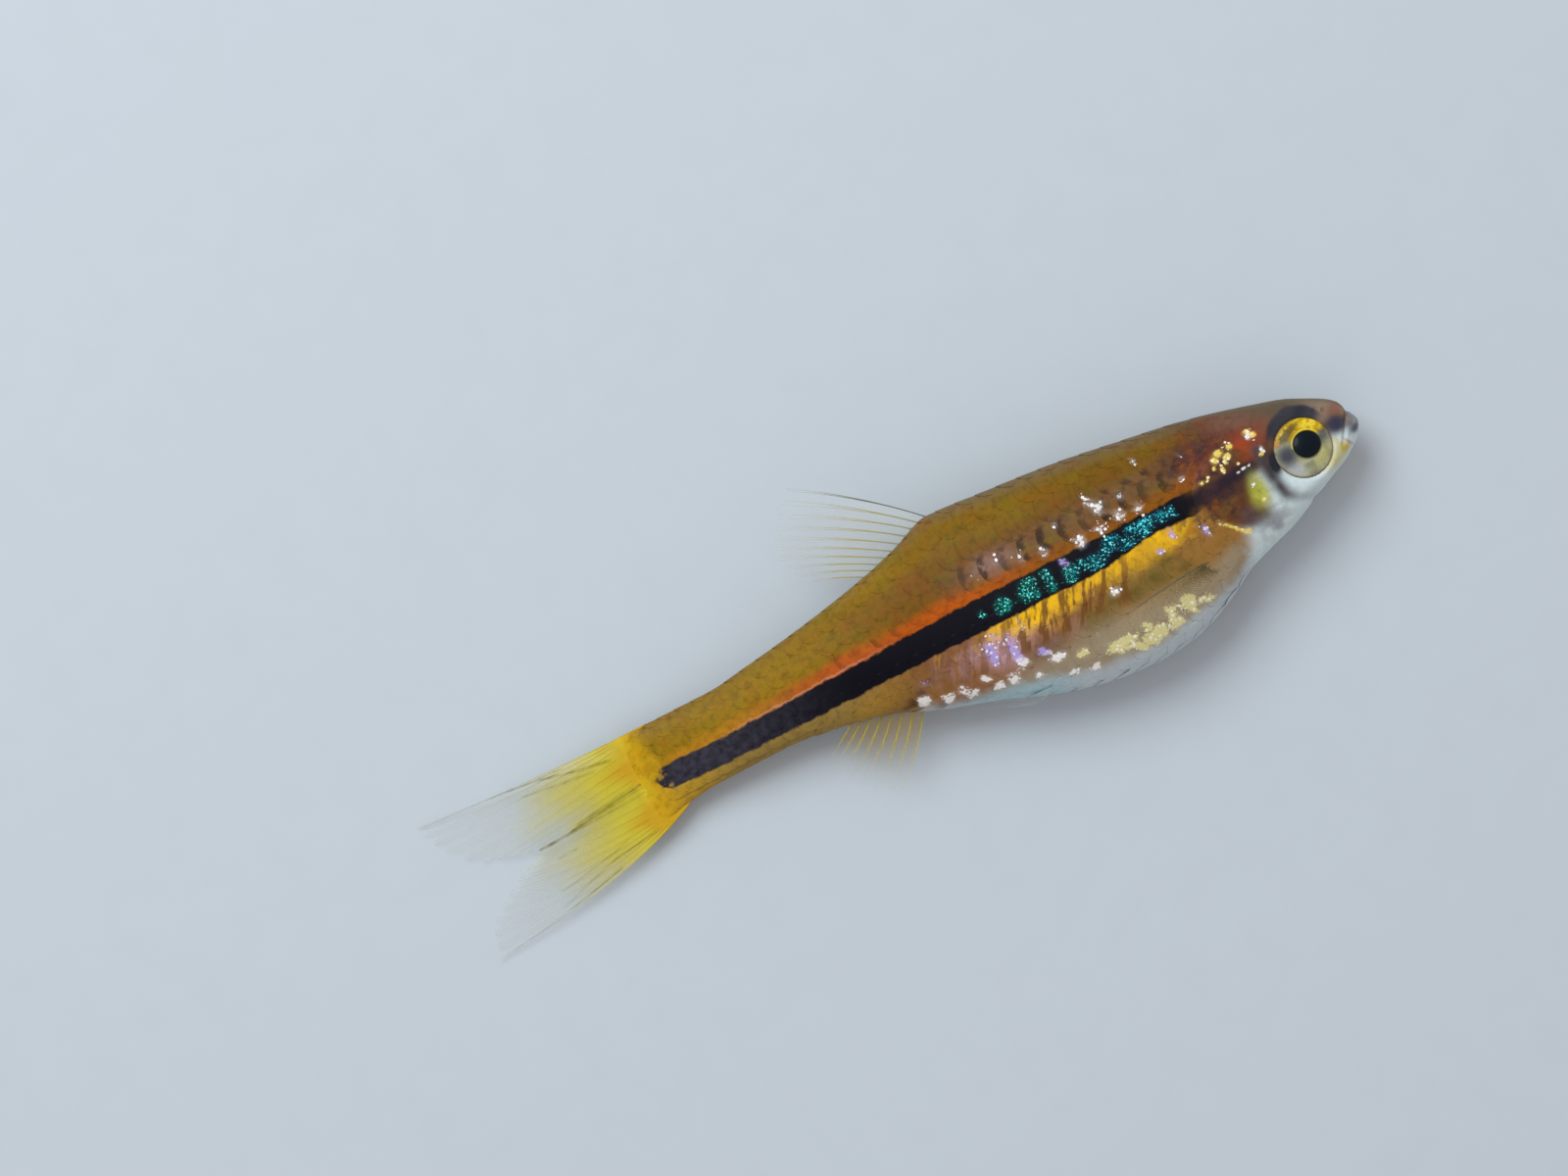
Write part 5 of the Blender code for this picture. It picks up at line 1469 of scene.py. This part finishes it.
def fin_paint(name):
    """Fin skin and rays: their own colour and clearness at each point, with fine speckling."""
    paint = Paint(name)
    speck = paint.noise(0.22, 3.0, 0.65)
    tint = paint.mix(speck.fade(0.5, 0.75) * 0.22, paint.attribute("tint"), (0.5, 0.45, 0.3, 1), "MULTIPLY")
    alpha = Number(paint, paint.attribute("clearness", "Fac")) * (speck * 0.5 + 0.75)
    normal = paint.bump(speck, 0.2, 0.02)
    return paint.finish(Base_Color=tint, Roughness=0.4, Specular_IOR_Level=0.2, Alpha=alpha, Normal=normal)


def build_fin(name, node, slot, keys, rays, lay, sizes, colours, material, **strands):
    """One fin: its membrane and its strands in one mesh. colours(s, y, u, t, ray) gives colour and
    clearness."""
    upper, lower, u, t = fin_membrane(keys, rays, lay, sizes)
    sheet, sheet_faces = closed_sheet(upper, lower)
    tubes, tube_u, tube_t = fin_strands(keys, rays, lay, sizes, **strands)
    many, segments, sides = tubes.shape[:3]
    points = np.concatenate([sheet, tubes.reshape(-1, 3)])
    tube_quads, tube_ends = tube_faces(many, segments, sides)
    faces = [*sheet_faces.tolist(), *(tube_quads + len(sheet)).tolist(), *(tube_ends + len(sheet)).tolist()]
    sheet_tint, sheet_clear = colours(upper[..., 0], upper[..., 1], u, t, False)
    ray_tint, ray_clear = colours(tubes[..., 0], tubes[..., 1], tube_u, tube_t, True)
    tint = np.concatenate([sheet_tint.reshape(-1, 3)] * 2 + [ray_tint.reshape(-1, 3)])
    clear = np.concatenate([sheet_clear.ravel()] * 2 + [ray_clear.ravel()])
    values = [("tint", "FLOAT_COLOR", rgba(tint)), ("clearness", "FLOAT", np.clip(clear, 0, 1))]
    made = mesh_object(name, world(points), faces, material, values)
    face_out(made)
    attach(made, "root")
    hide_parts(node)


# Fine dark lines in the tail fin, each as a run of places in the side view, and its width and strength.
CAUDAL_LINES = [
    ([(53.2, 0.75), (55.5, 0.4), (58, 0.1), (60.5, -0.2), (63.1, -0.38)], 0.08, 0.75),
    ([(53.6, 0.3), (56, 0.15), (58.5, -0.08), (61, -0.3)], 0.06, 0.6),
    ([(54.6, -0.1), (57, -0.18), (60, -0.32), (62.6, -0.45)], 0.06, 0.5),
    ([(55.4, 0.6), (58, 0.3), (60, 0.0)], 0.07, 0.5),
    ([(61.6, -0.35), (63.0, -0.4)], 0.12, 0.4),
    ([(53.0, -0.35), (54.6, -0.4)], 0.14, 0.6),
    ([(56.0, 2.92), (58.5, 3.35), (61, 3.95), (62.8, 4.15), (64.5, 4.3), (67, 4.5), (69.5, 4.66)], 0.07,
     0.85),
    ([(57.2, 2.7), (59.8, 3.05), (62.5, 3.4)], 0.07, 0.5),
    ([(59.0, 3.92), (61.5, 4.08), (64.4, 4.3)], 0.06, 0.5),
    ([(55.2, -2.85), (58.5, -3.25), (60, -3.62), (61.6, -4.1), (63.2, -4.6)], 0.06, 0.6),
    ([(58.6, -4.02), (60.7, -4.5), (62.5, -4.85), (64.6, -5.25), (67, -5.6), (68.7, -5.8)], 0.07, 0.85),
    ([(57.2, -2.45), (58.6, -2.85), (60.2, -3.15), (63, -3.6)], 0.05, 0.45),
    ([(60.8, -1.45), (62.2, -1.5)], 0.06, 0.5),
]


def caudal_colours(fins):
    """Amber lobes that pale to lemon and clear away towards the fork and the tips, with a few fine dark
    lines."""
    def colours(s, y, u, t, on_ray):
        reach = tail_reach(s, y)
        tint = blend(ink(fins.amber), ink(fins.yellow), fade(reach, 53.9, 57.4))
        tint = blend(tint, ink(fins.clear), fade(reach, 58.5, 65) * 0.9)
        clear = np.interp(reach, [53, 55, 56.2, 58, 60, 62, 64, 68, 70],
                          [1.0, 0.88, 0.68, 0.45, 0.28, 0.16, 0.07, 0.04, 0.03])
        clear = np.maximum(clear, 1 - fade(s, 54.8, 55.8))
        if on_ray:
            streak = 0.35 + 0.65 * grain(np.stack([t * 42, u * 3, 0 * t], axis=-1), 1.0, 44)
            tint = layer(tint, ink(fins.clear), 0.2 * fade(s, 56, 60))
            tint = layer(tint, ink(fins.pale), 0.3 * fade(reach, 59, 63))
            clear = np.maximum(clear * 0.7, np.interp(s, [53, 57, 62, 66, 70], [1.0, 0.7, 0.6, 0.5, 0.3])
                               * streak)
        cloudy = grain(np.stack([s * 5, y * 5, 0 * s], axis=-1), 1.0, 41)
        mottle = (0.3 + 0.7 * cloudy) * (1 - 0.4 * fade(s, 60, 67))
        for line, wide, strength in CAUDAL_LINES:
            gap, _ = line_distance(s, y, line)
            mark = np.exp(-((gap / wide) ** 2)) * strength * mottle
            tint = layer(tint, ink(fins.dark), mark * 1.2)
            clear = clear + mark * (0.7 - 0.4 * fade(s, 60, 66))
        return tint, np.clip(clear, 0, 1)
    return colours


def plain_colours(fins, sheet, ray, sheet_clear, ray_clear, lead=0.0, root=0.5):
    """Colours of a fin that fades to its edge: sheet and ray colours, and (root, edge) clearness of each.
    root darkens the rays' roots, and lead the first ones."""
    def colours(s, y, u, t, on_ray):
        near, far = ray_clear if on_ray else sheet_clear
        tint = np.zeros((*s.shape, 3)) + ink(ray if on_ray else sheet)
        clear = near + (far - near) * fade(u, 0.05, 0.9)
        if on_ray:
            tint = layer(tint, ink(fins.grey) * 0.7, (1 - fade(u, 0.0, 0.45)) * root)
            first = 1 - fade(t, 0.02, 0.14)
            tint = layer(tint, ink(fins.grey) * 0.6, first * lead * (1 - 0.5 * fade(u, 0.4, 0.9)))
            clear = clear + first * lead * 0.5 * (1 - fade(u, 0.5, 0.95))
        return tint, clear
    return colours


class RASBORA_OT_fins(bpy.types.Operator):
    """Makes all fins as thin folded skin with parting rays"""

    bl_idname = "rasbora.fins"
    bl_label = "Fins"

    def execute(self, context):
        fins = context.scene.rasbora_fins
        clear_fin, yellow_fin = fin_paint("clear_fin_skin"), fin_paint("tail_fin_skin")
        spots = np.linspace(DORSAL_START, DORSAL_END, 5)
        dorsal_root = [(s, float(back(s)) - 0.12) for s in spots]
        pale = plain_colours(fins, fins.clear, fins.pale, (0.14, 0.02), (0.9, 0.16), 0.9)
        build_fin("dorsal_rays", "dorsal_fin", "clear_fin", (dorsal_root, DORSAL_BEND, DORSAL_TIP),
                  DORSAL_RAYS, on_middle(0.9), fins, pale, clear_fin, thick=0.75)
        spots = np.linspace(ANAL_START, ANAL_END, 5)
        anal_root = [(s, float(belly(s)) + 0.12) for s in spots]
        faint = plain_colours(fins, fins.stain, fins.yellow, (0.24, 0.0), (0.5, 0.08), 0.0, 0.2)
        build_fin("anal_rays", "anal_fin", "yellow_fin", (anal_root, ANAL_BEND, ANAL_TIP), ANAL_RAYS,
                  on_middle(1.0), fins, faint, clear_fin)
        build_fin("caudal_rays", "caudal_fin", "yellow_fin", (CAUDAL_ROOT, CAUDAL_BEND, CAUDAL_TIP),
                  CAUDAL_RAYS, on_middle(0.0), fins, caudal_colours(fins), yellow_fin, thick=0.7)
        thin = plain_colours(fins, fins.clear, fins.pale, (0.01, 0.01), (0.06, 0.07), 1.6, 0.3)
        thinner = plain_colours(fins, fins.clear, fins.clear, (0.02, 0.02), (0.2, 0.1), 0.0, 0.0)
        for name, node, side in (("pectoral_rays_right", "pectoral_fin_right", 1),
                                 ("pectoral_rays_left", "pectoral_fin_left", -1)):
            bends = PECTORAL_BEND if side > 0 else UNDER_PECTORAL_BEND
            tips = PECTORAL_TIP if side > 0 else UNDER_PECTORAL_TIP
            build_fin(name, node, "clear_fin", (PECTORAL_ROOT, bends, tips), PECTORAL_RAYS,
                      on_flank(side, 0.42), fins, thin, clear_fin, thick=0.75)
        for name, node, side in (("pelvic_rays_right", "pelvic_fin_right", 1),
                                 ("pelvic_rays_left", "pelvic_fin_left", -1)):
            build_fin(name, node, "clear_fin", (PELVIC_ROOT, PELVIC_BEND, PELVIC_TIP), PELVIC_RAYS,
                      under_belly(side), fins, thinner, clear_fin, strands=1, thick=0.4)
        return {"FINISHED"}


class RASBORA_OT_stage(bpy.types.Operator):
    """Sets the pale floor, the soft light and the camera"""

    bl_idname = "rasbora.stage"
    bl_label = "Stage"

    def execute(self, context):
        scene, stage = context.scene, context.scene.rasbora_stage
        scene.view_settings.view_transform = "Standard"
        self.floor(stage)
        self.light(scene, stage)
        camera = bpy.data.objects.new("camera", bpy.data.cameras.new("camera"))
        camera.data.lens = stage.lens
        camera.data.clip_start = 0.01
        camera.location = (*stage.centre, stage.height)
        camera.rotation_euler = (0, 0, stage.turn)
        scene.collection.objects.link(camera)
        scene.camera = camera
        return {"FINISHED"}

    def floor(self, stage):
        """A flat round floor a little under the fish: radius and angle on a grid."""
        rings, columns, drop = 24, 96, 0.00003
        radius = np.linspace(0.002, 2.0, rings)[:, None]
        angle = np.linspace(0, 2 * np.pi, columns, endpoint=False)[None]
        level = -drop + 0 * radius * angle
        points = np.stack([radius * np.cos(angle), radius * np.sin(angle), level], axis=-1)
        paint = Paint("floor")
        grainy = paint.noise(3.0, 3.0, 0.5)
        tone = paint.mix(grainy.fade(0.3, 0.8) * 0.05, full(ink(stage.floor)), (0.4, 0.42, 0.45, 1))
        paint.finish(Base_Color=tone, Roughness=0.6, Specular_IOR_Level=0.1)
        faces = [*grid_faces(rings, columns, closed=True).tolist(), list(range(columns))]
        made = mesh_object("floor", points, faces, paint.material, soft=False)
        face_up = np.zeros(len(made.data.polygons) * 3)
        made.data.polygons.foreach_get("normal", face_up)
        if face_up.reshape(-1, 3)[:, 2].mean() < 0:
            made.data.flip_normals()

    def light(self, scene, stage):
        world_made = bpy.data.worlds.new("soft_room")
        world_made.use_nodes = True
        ambient = world_made.node_tree.nodes["Background"]
        ambient.inputs["Color"].default_value = (1.0, 0.96, 0.95, 1)
        ambient.inputs["Strength"].default_value = stage.sky
        scene.world = world_made
        lamp = bpy.data.lights.new("soft_lamp", "AREA")
        lamp.shape = "DISK"
        lamp.size = 0.3
        lamp.energy = stage.power
        lamp.color = (0.87, 0.965, 1.0)
        holder = bpy.data.objects.new("soft_lamp", lamp)
        holder.location = (-0.06, 0.26, 0.36)
        aim = Vector((0.0, 0.0, 0.0)) - Vector(holder.location)
        holder.rotation_euler = aim.to_track_quat("-Z", "Y").to_euler()
        scene.collection.objects.link(holder)


class RASBORA_PT_panel(bpy.types.Panel):
    """Lists the steps that build the fish"""

    bl_label = "Brilliant Rasbora"
    bl_space_type = "VIEW_3D"
    bl_region_type = "UI"
    bl_category = "Rasbora"

    def draw(self, context):
        for step in OPERATORS:
            self.layout.operator(step.bl_idname)


OPERATORS = (RASBORA_OT_stage, RASBORA_OT_skin, RASBORA_OT_scales, RASBORA_OT_eyes, RASBORA_OT_fins)
SETTINGS = {"rasbora_markings": RasboraMarkings, "rasbora_scales": RasboraScales, "rasbora_eye": RasboraEye,
            "rasbora_fins": RasboraFins, "rasbora_stage": RasboraStage}


def register():
    for group in SETTINGS.values():
        bpy.utils.register_class(group)
    for name, group in SETTINGS.items():
        setattr(bpy.types.Scene, name, bpy.props.PointerProperty(type=group))
    for made in (*OPERATORS, RASBORA_PT_panel):
        bpy.utils.register_class(made)


def unregister():
    for made in (RASBORA_PT_panel, *reversed(OPERATORS)):
        bpy.utils.unregister_class(made)
    for name, group in SETTINGS.items():
        delattr(bpy.types.Scene, name)
        bpy.utils.unregister_class(group)


def main():
    register()
    bpy.ops.rasbora.stage()
    bpy.ops.rasbora.skin()
    bpy.ops.rasbora.scales()
    bpy.ops.rasbora.eyes()
    bpy.ops.rasbora.fins()


if __name__ == "__main__":
    main()
